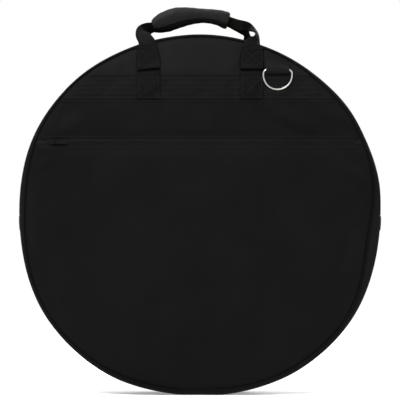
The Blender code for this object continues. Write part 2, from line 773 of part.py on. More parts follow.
def grip(stations):
    """The padded sleeve round the top of the front loop, lofted along the strap that runs through it."""
    swells = smooth_rows([(share,) for share in GRIP_SWELL_SHARES])
    work = bmesh.new()
    rings = []
    for (middle, normal, _), (swell,) in zip(stations, swells):
        section = grip_section(middle, normal, swell * GRIP_HEIGHT)
        rings.append([work.verts.new(point) for point in section])
    for ring, next_ring in zip(rings, rings[1:]):
        for index in range(GRIP_SECTION_SIDES):
            after = (index + 1) % GRIP_SECTION_SIDES
            work.faces.new((ring[index], ring[after], next_ring[after], next_ring[index]))
    work.faces.new(rings[0])
    work.faces.new(rings[-1])
    mesh = bpy.data.meshes.new("handle_grip")
    work.to_mesh(mesh)
    work.free()
    tidy_mesh(mesh)
    return place("handle_grip", mesh, grip_cloth, (0, 0, CENTRE_HEIGHT))


def handles():
    """Both handle loops, and the grip on the front one."""
    front_rows = FRONT_LEFT_LEG_SHARES + GRIP_LINE_SHARES + FRONT_RIGHT_LEG_SHARES
    back_rows = BACK_LEFT_LEG_SHARES + GRIP_LINE_SHARES + BACK_RIGHT_LEG_SHARES
    front_stations = loop_stations(smooth_rows(front_rows), -1, FRONT_LEAN)
    back_stations = loop_stations(smooth_rows(back_rows), 1, BACK_LEAN)
    front = ribbon("front_handle_loop", front_stations, STRAP_THICKNESS, 0, webbing)
    back = ribbon("back_handle_loop", back_stations, STRAP_THICKNESS, 0, webbing)
    first = len(FRONT_LEFT_LEG_SHARES) * LOOP_STEPS
    last = first + (len(GRIP_LINE_SHARES) - 1) * LOOP_STEPS
    sleeve = grip(front_stations[first : last + 1])
    past_grip = front_stations[first - LOOP_STEPS : last + LOOP_STEPS + 1]
    channel = ribbon("grip_channel", past_grip, STRAP_THICKNESS, FIT_GAP, None)
    combine(sleeve, as_cutter(channel), "DIFFERENCE")
    return front, back, sleeve


def ring_tab(name, side, middle):
    """A webbing tab folded round a ring's bar and sewn to the panel above it."""
    centre = (RING_DEPTH, RING_BAR_HEIGHT)
    wrap = RING_BORE + TAB_WEBBING
    base = OVERLAY_DEPTH
    outline = [(base, RING_BAR_HEIGHT + TAB_HEIGHT), (base, RING_BAR_HEIGHT)]
    outline += [(max(x, base), y) for x, y in arc(centre, wrap, math.pi, 2 * math.pi, HALF_TURN_STEPS)]
    outline += [(base + TAB_TOP_THICKNESS, RING_BAR_HEIGHT + TAB_HEIGHT)]
    bore = arc(centre, RING_BORE, 0, 2 * math.pi, 2 * HALF_TURN_STEPS)[:-1]
    outline = [point for index, point in enumerate(outline) if point != outline[index - 1]]
    tab = flat_piece(name, [outline, bore], TAB_WIDTH, webbing)
    tab.location = (middle, 0, CENTRE_HEIGHT)
    tab.rotation_euler = (math.pi / 2, 0, side * math.pi / 2)
    return tab


def d_ring(name, side, middle):
    """A D-ring of round wire that hangs from its straight bar, its origin on the bar's axis."""
    wire = RING_WIRE / 2
    half = RING_WIDTH / 2 - wire
    low = -RING_CORNER - RING_SIDE
    path = arc((0, low), half, math.pi, 2 * math.pi, RING_BOW_STEPS)
    path += arc((half - RING_CORNER, -RING_CORNER), RING_CORNER, 0, math.pi / 2, RING_CORNER_STEPS)
    path += arc((RING_CORNER - half, -RING_CORNER), RING_CORNER, math.pi / 2, math.pi, RING_CORNER_STEPS)
    curve = bpy.data.curves.new(name, "CURVE")
    curve.dimensions = "3D"
    curve.bevel_depth = wire
    curve.bevel_resolution = RING_WIRE_STEPS
    spline = curve.splines.new("POLY")
    spline.points.add(len(path) - 1)
    for point, (x, z) in zip(spline.points, path):
        point.co = (x, 0, z, 1)
    spline.use_cyclic_u = True
    return place(name, curve, nickel, (middle, side * RING_DEPTH, CENTRE_HEIGHT + RING_BAR_HEIGHT))


def joint(name, location, carrier=None):
    """An empty on a joint's axis."""
    empty = bpy.data.objects.new(name, None)
    parts.objects.link(empty)
    empty.location = location
    if carrier is not None:
        empty.parent = carrier
        empty.location = Vector(location) - world_place(carrier)
    return empty


def world_place(empty):
    """The place of a joint's empty in the bag's frame."""
    place_now = Vector(empty.location)
    while empty.parent is not None:
        empty = empty.parent
        place_now += empty.location
    return place_now


def carry(empty, *pieces):
    """Hang pieces on a joint's empty without moving them."""
    for piece in pieces:
        piece.location = Vector(piece.location) - world_place(empty)
        piece.parent = empty


def build():
    """Make every piece and hang the moving ones on their joints."""
    panel_layers("back_panel", 1)
    panel_layers("front_lower", -1, lower_half)
    lower_gusset()
    piping("piping_back", 1)
    piping("piping_front_lower", -1, lower_half)
    gusset_strip("gusset_strip_back", 1)
    zip_half("back", 1)
    zip_end_tabs()
    back_anchors()
    front_loop, back_loop, sleeve = handles()
    back_ring = d_ring("back_ring", 1, -RING_X)
    ring_tab("back_ring_tab", 1, -RING_X)

    lid_axis = joint("lid_axis", (0, -LID_AXIS_DEPTH, CENTRE_HEIGHT))
    carry(lid_axis, *panel_layers("front_upper", -1, upper_half))
    carry(lid_axis, piping("piping_front_upper", -1, upper_half))
    carry(lid_axis, gusset_strip("gusset_strip_front", -1))
    carry(lid_axis, *zip_half("front", -1))
    carry(lid_axis, *pocket())
    carry(lid_axis, *front_webbing())
    carry(lid_axis, ring_tab("front_ring_tab", -1, RING_X))

    front_ring = d_ring("front_ring", -1, RING_X)
    front_ring_axis = joint("front_ring_axis", front_ring.location, lid_axis)
    carry(front_ring_axis, front_ring)
    carry(joint("back_ring_axis", back_ring.location), back_ring)

    handle_depth = OVERLAY_DEPTH + STRAP_THICKNESS + HINGE_CLEARANCE
    handle_height = CENTRE_HEIGHT + LOOP_START
    front_handle_axis = joint("front_handle_axis", (0, -handle_depth, handle_height), lid_axis)
    carry(front_handle_axis, front_loop, sleeve)
    carry(joint("back_handle_axis", (0, handle_depth, handle_height)), back_loop)

    for name, side in (("left", -1), ("right", 1)):
        slider, pull = main_slider(name, side)
        slider_axis = joint(f"{name}_slider_axis", (0, 0, CENTRE_HEIGHT), lid_axis)
        pull_axis = joint(f"{name}_pull_axis", pull.location, slider_axis)
        carry(slider_axis, slider)
        carry(pull_axis, pull)

    slider, pull = pocket_slider()
    slider_axis = joint("pocket_slider_axis", slider.location, lid_axis)
    pull_axis = joint("pocket_pull_axis", pull.location, slider_axis)
    carry(slider_axis, slider)
    carry(pull_axis, pull)


for old in list(bpy.data.objects):
    bpy.data.objects.remove(old, do_unlink=True)

parts = collection("cymbal_bag")
cutters = collection("cutters")

nylon = finish("black_nylon", (0.0115, 0.0110, 0.0110), 0.72)
foam = finish("grey_foam", (0.060, 0.060, 0.062), 0.95)
lining = finish("black_lining", (0.0160, 0.0160, 0.0165), 0.85)
webbing = finish("black_webbing", (0.0100, 0.0095, 0.0095), 0.66)
tape_cloth = finish("zip_tape", (0.0080, 0.0080, 0.0080), 0.80)
coil_nylon = finish("zip_coil", (0.0100, 0.0100, 0.0100), 0.38)
grip_cloth = finish("grip_cloth", (0.0210, 0.0205, 0.0200), 0.60)
slider_metal = finish("slider_metal", (0.0180, 0.0180, 0.0190), 0.36, 0.8)
nickel = finish("bright_nickel", (0.7800, 0.7700, 0.7300), 0.14, 1.0)

below_fold, above_fold = make_halving_cutters()
build()
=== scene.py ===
"""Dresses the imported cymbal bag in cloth, webbing, thread and metal, and sets it in a plain studio.

Metres, +Z up, the bag's front towards -Y. A height is measured up from the middle of the round body, a depth
out from its middle plane, and a bearing clockwise from the top as seen from the front, in degrees.
"""

import logging
import math
from collections.abc import Callable, Sequence
from dataclasses import dataclass, field
from enum import Enum

import bmesh
import bpy
import numpy as np
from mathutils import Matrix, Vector


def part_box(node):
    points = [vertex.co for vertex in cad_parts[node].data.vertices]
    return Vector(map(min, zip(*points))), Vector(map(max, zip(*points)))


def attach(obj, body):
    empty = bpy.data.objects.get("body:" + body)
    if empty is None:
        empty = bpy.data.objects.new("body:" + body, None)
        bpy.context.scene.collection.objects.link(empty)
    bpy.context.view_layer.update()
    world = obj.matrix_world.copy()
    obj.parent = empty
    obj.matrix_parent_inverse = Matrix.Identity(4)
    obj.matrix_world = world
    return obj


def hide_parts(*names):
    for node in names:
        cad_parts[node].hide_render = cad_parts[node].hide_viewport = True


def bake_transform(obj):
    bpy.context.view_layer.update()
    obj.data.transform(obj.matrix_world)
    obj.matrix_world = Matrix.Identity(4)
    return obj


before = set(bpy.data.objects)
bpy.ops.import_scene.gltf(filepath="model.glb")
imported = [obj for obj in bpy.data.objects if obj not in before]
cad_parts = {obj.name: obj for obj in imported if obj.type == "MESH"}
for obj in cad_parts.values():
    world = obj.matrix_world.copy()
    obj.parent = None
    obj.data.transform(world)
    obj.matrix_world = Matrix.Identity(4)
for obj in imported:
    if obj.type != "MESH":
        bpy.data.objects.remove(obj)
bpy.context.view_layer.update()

Color = tuple[float, float, float]
Pair = tuple[float, float]
Point = tuple[float, float, float]
Array = np.ndarray
Value = np.ndarray | float
Depths = Callable[[Array, Array], Array]
Look = bpy.types.Material
Piece = bpy.types.Object
Sheet = bmesh.types.BMesh

log = logging.getLogger("cymbal_bag")

CENTRE = 0.297433
FRONT = -1
BACK = 1
OUT = {FRONT: Vector((0, -1, 0)), BACK: Vector((0, 1, 0))}

# The marker for pieces that cross the lid's fold, whose transforms are baked rather than tied to a body, and
# the heights of extra rows of points in them from mid-height up.
LID_FOLD = "lid_fold"
BEND_LINES = (0.0, 0.004, 0.008, 0.012, 0.016, 0.020, 0.024, 0.028)
FOLLOWS = {FRONT: LID_FOLD, BACK: "shell"}

# The bearings of the sections over the upper half, all round and over the lower half. They are close together
# near mid-height, at the lid's fold.
ENDS = np.linspace(80.5, 89.97, 33)
ARCH = np.concatenate([np.linspace(-89.97, -80.5, 33), np.linspace(-80, 80, 107), ENDS])
EVERY = np.linspace(0, 360, 240, endpoint=False)
ROUND = np.unique(np.concatenate([EVERY, np.arange(270.25, 280, 0.5), np.arange(80.25, 90, 0.5)]))
LOWER = np.linspace(90.03, 269.97, 121)

# How far a sewn layer's inside stands off the cloth below it, and its outside at the panel's seam.
FOOT = 0.0003
EDGE_PROUD = 0.0008

# How far a layer's edge bulges, and a doubled strap's.
ROLL = 0.0004
STRAP_ROLL = 0.0008

# Where the handle straps, the rings' tabs and the pocket's zip are: across, up, and half their size.
STRAP_X = 0.0850
RING_TAB = (0.131, 0.240)
RING_TAB_HALF = (0.026, 0.024)
ZIP_LINE = 0.12215

# How many rings of points a round sheet has, and how many points a ring.
DISC_RINGS = 72
DISC_SPOKES = 300

# Features of noise to the metre: broad clouds, rubbed patches, lint, dull spots, fuzz and scratches.
CLOUDS, RUBS, LINT, SPOTS, FUZZ, SCRATCHES = 14.0, 45.0, 160.0, 220.0, 700.0, 1500.0


class Grain(Enum):
    """The way that a cloth's threads run."""

    LEVEL = "level"
    UPRIGHT = "upright"
    LENGTHWISE = "lengthwise"


class Signal:
    """A socket of a node tree, on which plain arithmetic adds Math nodes."""

    def __init__(self, bench: "Bench", socket: bpy.types.NodeSocket) -> None:
        """Wrap an output socket of a bench."""
        self.bench, self.socket = bench, socket

    def _math(self, operation: str, *values: "Signal | float") -> "Signal":
        """Add one Math node with its values."""
        return self.bench.node("ShaderNodeMath", {"operation": operation}, dict(enumerate(values)))

    def __add__(self, other: "Signal | float") -> "Signal":
        """Add."""
        return self._math("ADD", self, other)

    def __sub__(self, other: "Signal | float") -> "Signal":
        """Subtract."""
        return self._math("SUBTRACT", self, other)

    def __rsub__(self, other: float) -> "Signal":
        """Subtract from a number."""
        return self._math("SUBTRACT", other, self)

    def __mul__(self, other: "Signal | float") -> "Signal":
        """Multiply."""
        return self._math("MULTIPLY", self, other)

    __radd__ = __add__
    __rmul__ = __mul__

    def sine(self) -> "Signal":
        """The sine of the value."""
        return self._math("SINE", self)

    def size(self) -> "Signal":
        """The value without its sign."""
        return self._math("ABSOLUTE", self)

    def larger(self, other: "Signal") -> "Signal":
        """The larger of two values."""
        return self._math("MAXIMUM", self, other)

    def between(self, low: float, high: float) -> "Signal":
        """How far the value has gone from one number to another, eased, from 0 to 1."""
        values = {"Value": self, "From Min": low, "From Max": high}
        return self.bench.node("ShaderNodeMapRange", {"interpolation_type": "SMOOTHSTEP"}, values)


class Bench:
    """One node tree, on which a finish or the surroundings are put together."""

    def __init__(self, owner: Look | bpy.types.World, shader: str = "Principled BSDF") -> None:
        """Start on the shader node of a material or of the world."""
        owner.use_nodes = True
        self.owner, self.tree = owner, owner.node_tree
        self.shader = self.tree.nodes[shader]

    def node(
        self,
        kind: str,
        settings: dict[str, object] | None = None,
        values: dict[int | str, "Signal | float | tuple"] | None = None,
        output: int | str = 0,
    ) -> Signal:
        """Add any node.

        Args:
            kind: The node's type.
            settings: Its properties.
            values: The values or links of its sockets, by index, identifier or name.
            output: The output wanted, by index, identifier or name.

        Returns:
            That output.
        """
        made = self.tree.nodes.new(kind)
        for name, value in (settings or {}).items():
            setattr(made, name, value)
        for key, value in (values or {}).items():
            self.feed(self.find(made.inputs, key), value)
        return Signal(self, self.find(made.outputs, output))

    @staticmethod
    def find(sockets: bpy.types.bpy_prop_collection, key: int | str) -> bpy.types.NodeSocket:
        """Find a socket by its index, identifier or name."""
        if isinstance(key, int):
            return sockets[key]
        return next((s for s in sockets if s.identifier == key), None) or sockets[key]

    def feed(self, socket: bpy.types.NodeSocket, value: "Signal | float | tuple") -> None:
        """Link a socket, or set its own value."""
        if isinstance(value, Signal):
            self.tree.links.new(value.socket, socket)
        else:
            socket.default_value = (*value, 1) if socket.type == "RGBA" and len(value) == 3 else value

    def axes(self, vector: Signal) -> tuple[Signal, ...]:
        """Split a vector into its three parts."""
        made = self.node("ShaderNodeSeparateXYZ", {}, {0: vector}).socket.node
        return tuple(Signal(self, socket) for socket in made.outputs)

    def place(self) -> Signal:
        """Where a point of the surface is on its piece."""
        return self.node("ShaderNodeTexCoord", output="Object")

    def noise(self, scale: float, detail: float = 2.0, twist: float = 0.0) -> Signal:
        """Soft noise from 0 to 1.

        Args:
            scale: How many features fit in a metre.
            detail: How many finer layers it has.
            twist: How much it is distorted.

        Returns:
            The noise.
        """
        values = {"Vector": self.place(), "Scale": scale, "Detail": detail, "Distortion": twist}
        return self.node("ShaderNodeTexNoise", {}, values, "Fac")

    def mix(self, share: Signal, first: "Signal | Color", second: "Signal | Color") -> Signal:
        """Blend two colours, the first at a share of 0 and the second at 1."""
        values = {"Factor_Float": share, "A_Color": first, "B_Color": second}
        return self.node("ShaderNodeMix", {"data_type": "RGBA"}, values, "Result_Color")

    def finish(self, height: Signal | None = None, depth: float = 0.0, **values: object) -> bpy.types.ID:
        """Set the shader's sockets and give the finished material or world.

        Args:
            height: What the bump follows.
            depth: How deep the bump is, in metres.
            **values: The shader's sockets by name, with underscores for spaces.

        Returns:
            The material or world.
        """
        for name, value in values.items():
            self.feed(self.shader.inputs[name.replace("_", " ")], value)
        if height is not None:
            bump = self.node("ShaderNodeBump", {}, {"Strength": 1.0, "Distance": depth, "Height": height})
            self.feed(self.shader.inputs["Normal"], bump)
        return self.owner


def tinted(color: Color, share: float) -> Color:
    """A colour made darker or lighter."""
    return tuple(part * share for part in color)


def grey(part: float) -> Color:
    """A grey."""
    return part, part, part


def dark(*parts: int) -> Color:
    """A colour near black, from its red, green and blue in ten-thousandths."""
    return tuple(part / 10000 for part in parts)


@dataclass(frozen=True)
class Weave:
    """A woven cloth or webbing."""

    name: str
    color: Color
    pitch: float
    depth: float
    roughness: float = 0.78
    specular: float = 0.10
    grain: Grain = Grain.LEVEL
    sheen: float = 0.0
    mottle: float = 0.16
    chevrons: bool = False
    dust: Color = (0.030, 0.028, 0.027)
    dust_share: float = 0.10

    def threads(self, bench: Bench) -> Signal:
        """The height of the threads, from about 0 to 1."""
        if self.grain is Grain.LENGTHWISE:
            along, across, _ = bench.axes(bench.node("ShaderNodeUVMap", {"uv_map": "strap"}))
        else:
            x, y, z = bench.axes(bench.place())
            along, across = x + y, z + y
            if self.grain is Grain.UPRIGHT:
                along, across = across, along
        turn = 2 * math.pi / self.pitch
        if self.chevrons:
            ridge = (across * (turn / 3)).sine().size()
            return (along * turn + ridge * 3.2).sine() * 0.28 + ridge * 0.36 + 0.3
        return (along * turn).sine() * (across * turn).sine() * 0.5 + 0.5

    def make(self) -> Look:
        """Put the finish together."""
        bench = Bench(bpy.data.materials.new(self.name))
        threads = self.threads(bench)
        cloud = bench.noise(CLOUDS, 3.0).between(0.3, 0.7)
        fuzz = bench.noise(FUZZ)
        color = bench.mix(cloud, tinted(self.color, 1 - self.mottle), tinted(self.color, 1 + self.mottle))
        color = bench.mix(threads * 0.35, color, tinted(self.color, 1.5))
        lint = bench.noise(LINT, 4.0).between(0.62, 0.78) * self.dust_share
        return bench.finish(
            height=threads * 0.7 + fuzz * 0.3,
            depth=self.depth,
            Base_Color=bench.mix(lint, color, self.dust),
            Roughness=(fuzz - 0.5) * 0.12 + self.roughness,
            Specular_IOR_Level=self.specular,
            Sheen_Weight=self.sheen,
            Sheen_Roughness=0.5,
        )


@dataclass(frozen=True)
class Smooth:
    """A smooth moulded or coated surface with a fine grain."""

    name: str
    color: Color
    roughness: float
    specular: float
    grain_size: float = 0.0012
    depth: float = 0.00004
    wear: float = 0.25

    def make(self) -> Look:
        """Put the finish together."""
        bench = Bench(bpy.data.materials.new(self.name))
        rubbed = bench.noise(RUBS, 4.0).between(0.42, 0.72)
        worn = tinted(self.color, 1 + self.wear)
        return bench.finish(
            height=bench.noise(1 / self.grain_size, 3.0),
            depth=self.depth,
            Base_Color=bench.mix(rubbed, tinted(self.color, 1 - self.wear), worn),
            Roughness=(rubbed - 0.5) * 0.14 + self.roughness,
            Specular_IOR_Level=self.specular,
        )


@dataclass(frozen=True)
class Metal:
    """Plated metal with fine scratches and dulled spots."""

    name: str
    color: Color
    roughness: float
    tarnish: Color = (0.35, 0.32, 0.26)
    tarnish_share: float = 0.15

    def make(self) -> Look:
        """Put the finish together."""
        bench = Bench(bpy.data.materials.new(self.name))
        scratched = bench.noise(SCRATCHES, twist=2.0)
        dulled = bench.noise(SPOTS, 4.0).between(0.5, 0.8) * self.tarnish_share
        return bench.finish(
            height=scratched,
            depth=0.00001,
            Base_Color=bench.mix(dulled, self.color, self.tarnish),
            Roughness=scratched * 0.10 + self.roughness,
            Metallic=1.0,
        )


def smooth_step(value: Value) -> Value:
    """Ease a share from 0 to 1."""
    share = np.clip(value, 0, 1)
    return share * share * (3 - 2 * share)


def bell(value: Value, width: float) -> Value:
    """A smooth bump of height 1 about 0, as wide as given."""
    return np.exp(-((value / width) ** 2))


def arc(middle: Pair, across: float, up: float, start: float, end: float, count: int) -> list[Pair]:
    """Points along an arc.

    Args:
        middle: Its middle.
        across: Its radius across.
        up: Its radius upwards.
        start: The angle at which it starts, in quarter turns.
        end: The angle at which it ends.
        count: How many points it has.

    Returns:
        The points.
    """
    turns = np.linspace(start * math.pi / 2, end * math.pi / 2, count)
    return [(middle[0] + across * math.cos(t), middle[1] + up * math.sin(t)) for t in turns]


@dataclass(frozen=True)
class Crease:
    """One soft fold in the cloth: a ridge with a hollow beside it. Its ends are (x, height)."""

    start: Pair
    end: Pair
    width: float
    lift: float

    def at(self, x: Array, height: Array) -> Array:
        """How far the fold lifts the cloth at given places."""
        run, rise = self.end[0] - self.start[0], self.end[1] - self.start[1]
        length = math.hypot(run, rise)
        dx, dh = x - self.start[0], height - self.start[1]
        share = np.clip((dx * run + dh * rise) / length**2, 0, 1)
        aside = (dx * rise - dh * run) / length
        fade = np.sin(np.pi * share) ** 0.8
        return self.lift * fade * (bell(aside, self.width) - 0.7 * bell(aside - 1.7 * self.width, self.width))


def ripple(x: Array, height: Array, seed: int, size: float) -> Array:
    """Slow unevenness from a few seeded waves, from about -1 to 1.

    Args:
        x: Places across the bag.
        height: Heights of the same places.
        seed: Which set of waves.
        size: The typical length of a wave.

    Returns:
        The unevenness at each place.
    """
    chance = np.random.default_rng(seed)
    total = np.zeros_like(x, dtype=float)
    for _ in range(9):
        angle, phase = chance.uniform(0, 2 * math.pi, 2)
        length = size * chance.uniform(0.7, 1.8)
        total += np.sin((x * math.cos(angle) + height * math.sin(angle)) * 2 * math.pi / length + phase)
    return total / 4


@dataclass(frozen=True)
class Rim:
    """The two seams round the bag and the outline of the gusset between them.

    The tables give millimetres at bearings: how far the front seam lies inside the outline, and how far the
    outline bulges past the true circle.
    """

    radius: float = 0.3000
    half_depth: float = 0.0350
    shoulder: float = 0.0110
    back_inset: float = 0.0085
    insets: tuple[Pair, ...] = (
        (0, 3.6), (20, 3.8), (35, 5.3), (55, 6.4), (68, 7.0), (75, 9.0), (85, 14.0), (95, 19.6), (100, 20.8),
        (106, 18.6), (114, 14.5), (120, 10.8), (128, 9.0), (160, 8.8), (175, 11.0), (190, 9.6), (215, 8.0),
        (232, 6.4), (250, 6.0), (262, 8.0), (275, 10.2), (288, 9.0), (300, 5.8), (320, 4.4), (345, 3.8),
    )  # fmt: skip
    bulges: tuple[Pair, ...] = (
        (15, 0.0), (31, 1.8), (42, 2.2), (50, 4.0), (56, 4.6), (64, 2.7), (75, 3.6), (82, 3.0), (88, 0.0),
        (99, 0.0), (110, 2.5), (117, 4.4), (126, 5.4), (150, 4.4), (160, 2.0), (170, 0.5), (180, 0.0),
        (190, 0.2), (200, 2.6), (208, 5.2), (230, 6.6), (240, 6.2), (252, 2.6), (261, 0.0), (272, 0.0),
        (282, 2.2), (292, 5.6), (300, 7.0), (318, 6.8), (326, 4.8), (332, 2.8), (350, 0.6),
    )  # fmt: skip

    def eased(self, table: tuple[Pair, ...], bearing: Value) -> Value:
        """The value at a bearing from a table in millimetres, in metres and with its corners rounded off."""
        spots, values = zip(*table)
        turned = np.asarray(bearing, dtype=float)
        return sum(np.interp(turned + shift, spots, values, period=360) for shift in (-4, -2, 0, 2, 4)) / 5000

    def hem(self, bearing: Value) -> Value:
        """The radius of the plain wall beside the zip, a little uneven as cloth is."""
        turn = np.radians(bearing)
        wander = np.sin(3 * turn + 0.8) + 0.8 * np.sin(5 * turn + 2.1) + 0.5 * np.sin(9 * turn)
        return self.radius + 0.00035 * (wander - 0.6)

    def outline(self, bearing: Value) -> Value:
        """The outline's radius, where the cushioned wall bulges most."""
        return self.hem(bearing) + self.eased(self.bulges, bearing)

    def seam(self, bearing: Value, side: int) -> Value:
        """The radius of the front or back seam."""
        bulge = self.eased(self.bulges, bearing)
        if side == BACK:
            return self.radius - self.back_inset + 0.8 * bulge
        return self.radius + bulge - self.eased(self.insets, bearing)


RIM = Rim()


def on_rim(bearing: float, radius: float, depth: float) -> Point:
    """A point of the gusset in the bag's frame, kept clear of the floor where it lies inside the outline."""
    turn = math.radians(bearing)
    floor = max(0.0, RIM.radius - 0.0006 - radius)
    return radius * math.sin(turn), depth, max(CENTRE + radius * math.cos(turn), floor)


@dataclass
class Face:
    """The outer surface of a panel, which everything sewn on that side of the bag follows."""

    side: int
    billow: "Billow"
    depth: float = 0.0380
    rounding: float = 0.0125
    edge_drop: float = 0.0028
    crown: float = 0.0030
    inset: float = 0.0013
    unevenness: float = 0.00045
    calm_height: float = 0.215
    calm_share: float = 0.35
    zip_half: float = 0.007
    strap_half: float = 0.019
    strap_low: float = 0.262
    easing: float = 0.014
    strap_easing: float = 0.012
    sewn_half: float = 0.0045
    creases: tuple[Crease, ...] = ()
    sewn_lines: tuple[float, ...] = ()

    def panel_radius(self, bearing: Value) -> Value:
        """The radius of the panel's edge at its seam."""
        return RIM.seam(bearing, self.side) - self.inset

    def reach(self, x: Array, height: Array) -> Array:
        """The radius of the panel's edge at the bearings of given places."""
        return self.panel_radius(np.degrees(np.arctan2(x, height)) % 360)

    def past(self, x: Array, height: Array) -> Array:
        """How far places have gone over the rounding at the panel's edge, from 0 to 1."""
        return np.clip((np.hypot(x, height) - self.reach(x, height) + self.rounding) / self.rounding, 0, 1)

    def quiet(self, x: Array, height: Array) -> Array:
        """How freely the cloth may move, from 0 beside the ring's tab, the straps and the zip to 1."""
        share = 1 - smooth_step((height - self.calm_height) / 0.02) * self.calm_share
        if self.side == FRONT:
            share = share * smooth_step((np.abs(height - ZIP_LINE) - self.zip_half) / self.easing)
        aside = np.maximum(np.abs(x + self.side * RING_TAB[0]) - RING_TAB_HALF[0], 0)
        ring = np.hypot(aside, np.maximum(np.abs(height - RING_TAB[1]) - RING_TAB_HALF[1], 0))
        aside = np.maximum(np.abs(np.abs(x) - STRAP_X) - self.strap_half, 0)
        strap = np.hypot(aside, np.maximum(self.strap_low - height, 0))
        return share * smooth_step(ring / self.easing) * smooth_step(strap / self.strap_easing)

    def held(self, x: Array, height: Array) -> Array:
        """Where the cloth is sewn down: at its rim, beside the straps, along the band and along the zip."""
        sewn = (np.hypot(x, height) > self.reach(x, height) - 0.010) | (self.quiet(x, height) < 0.25)
        for line in self.sewn_lines:
            sewn = sewn | (np.abs(height - line) < self.sewn_half)
        return sewn

    def lift(self, x: Array, height: Array) -> Array:
        """How far the cloth stands proud of the panel's plain face."""
        inside = np.clip(1 - (np.hypot(x, height) / (self.reach(x, height) - 0.002)) ** 2, 0, 1)
        total = self.crown * inside**0.8
        uneven = ripple(x, height, 3 + self.side, 0.075) * np.clip(inside * 5, 0, 1)
        total = total + self.unevenness * uneven
        for fold in (*self.creases, self.billow):
            total = total + fold.at(x, height)
        return total * self.quiet(x, height)

    def at(self, x: Array, height: Array) -> Array:
        """The depth of the panel's outer surface."""
        past = self.past(x, height)
        return self.depth - self.edge_drop * past**2 + self.lift(x, height) * (1 - past**2)

    def over(self, proud: float, edge_proud: float | None = None) -> Depths:
        """A surface that lies over this one.

        Args:
            proud: How far it stands off.
            edge_proud: How far it stands off at the panel's seam, where that differs.

        Returns:
            The depth of that surface at given places.
        """
        more = 0.0 if edge_proud is None else edge_proud - proud
        return lambda x, height: self.at(x, height) + proud + more * self.past(x, height) ** 2


@dataclass
class Billow:
    """The swell of a panel's cloth between its seams, from a cloth simulation."""

    spacing: float = 0.0075
    frames: int = 20
    cap: float = 0.0030
    push: float = 3.0
    slack: float = 0.010
    stuff: tuple[tuple[str, float], ...] = (
        ("quality", 6), ("mass", 0.2), ("air_damping", 2.0), ("tension_stiffness", 12.0),
        ("compression_stiffness", 12.0), ("shear_stiffness", 4.0), ("bending_stiffness", 0.3),
    )  # fmt: skip
    grid: Array | None = field(default=None, repr=False)

    def settle(self, held: Callable[[Array, Array], Array], seed: int) -> None:
        """Push a slack sheet out between the seams that hold it, and keep how far it swells.

        Args:
            held: Where the sheet is held, at given places.
            seed: Which unevenness it starts with.
        """
        half = math.ceil(0.303 / self.spacing)
        count = 2 * half + 1
        steps = (np.arange(count) - half) * self.spacing
        x, height = np.meshgrid(steps, steps)
        start = 0.0008 * ripple(x, height, seed, 0.06)
        mesh = bpy.data.meshes.new("slack_sheet")
        corners = [j * count + i for j in range(count - 1) for i in range(count - 1)]
        faces = [(c, c + 1, c + 1 + count, c + count) for c in corners]
        mesh.from_pydata(np.stack([x.ravel(), start.ravel(), height.ravel()], axis=1).tolist(), [], faces)
        sheet = add_object("slack_sheet", mesh)
        pins = sheet.vertex_groups.new(name="pins")
        pins.add([int(index) for index in np.flatnonzero(held(x, height).ravel())], 1.0, "REPLACE")
        settings = sheet.modifiers.new("cloth", "CLOTH").settings
        for name, value in (*self.stuff, ("shrink_min", -self.slack)):
            setattr(settings, name, value)
        settings.vertex_group_mass = "pins"
        scene = bpy.context.scene
        gravity = scene.gravity.copy()
        scene.gravity = (0, -self.push, 0)
        for number in range(1, self.frames + 1):
            scene.frame_set(number)
        settled = sheet.evaluated_get(bpy.context.evaluated_depsgraph_get()).to_mesh()
        places = np.zeros(len(settled.vertices) * 3)
        settled.vertices.foreach_get("co", places)
        out = -places.reshape(count, count, 3)[:, :, 1]
        scene.gravity = gravity
        scene.frame_set(1)
        bpy.data.objects.remove(sheet)
        self.grid = self.cap * np.tanh(np.where(held(x, height), 0, out) / self.cap)
        log.info("billow: %.1f mm at most", 1000 * float(np.abs(out).max()))

    def at(self, x: Array, height: Array) -> Array:
        """The swell at given places, 0 where nothing was simulated."""
        if self.grid is None:
            return np.zeros_like(x, dtype=float)
        last = len(self.grid) - 1
        column = np.clip(x / self.spacing + last / 2, 0, last - 0.001)
        row = np.clip(height / self.spacing + last / 2, 0, last - 0.001)
        left, low = column.astype(int), row.astype(int)
        dx, dh = column - left, row - low
        near = self.grid[low, left] * (1 - dx) + self.grid[low, left + 1] * dx
        far = self.grid[low + 1, left] * (1 - dx) + self.grid[low + 1, left + 1] * dx
        return near * (1 - dh) + far * dh


def add_object(name: str, data: bpy.types.ID) -> Piece:
    """Put a new object with its data in the scene."""
    made = bpy.data.objects.new(name, data)
    bpy.context.scene.collection.objects.link(made)
    return made


def dress(piece: Piece, nodes: Sequence[str], body: str, slot: str) -> Piece:
    """Let a piece stand for its nodes, which are hidden, and follow its body.

    Args:
        piece: The piece.
        nodes: The nodes that it replaces.
        body: The body that it rides on, or LID_FOLD, where its transform is baked instead.
        slot: Not used.

    Returns:
        The piece.
    """
    if nodes:
        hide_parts(*nodes)
    if body == LID_FOLD:
        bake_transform(piece)
    else:
        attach(piece, body)
    return piece


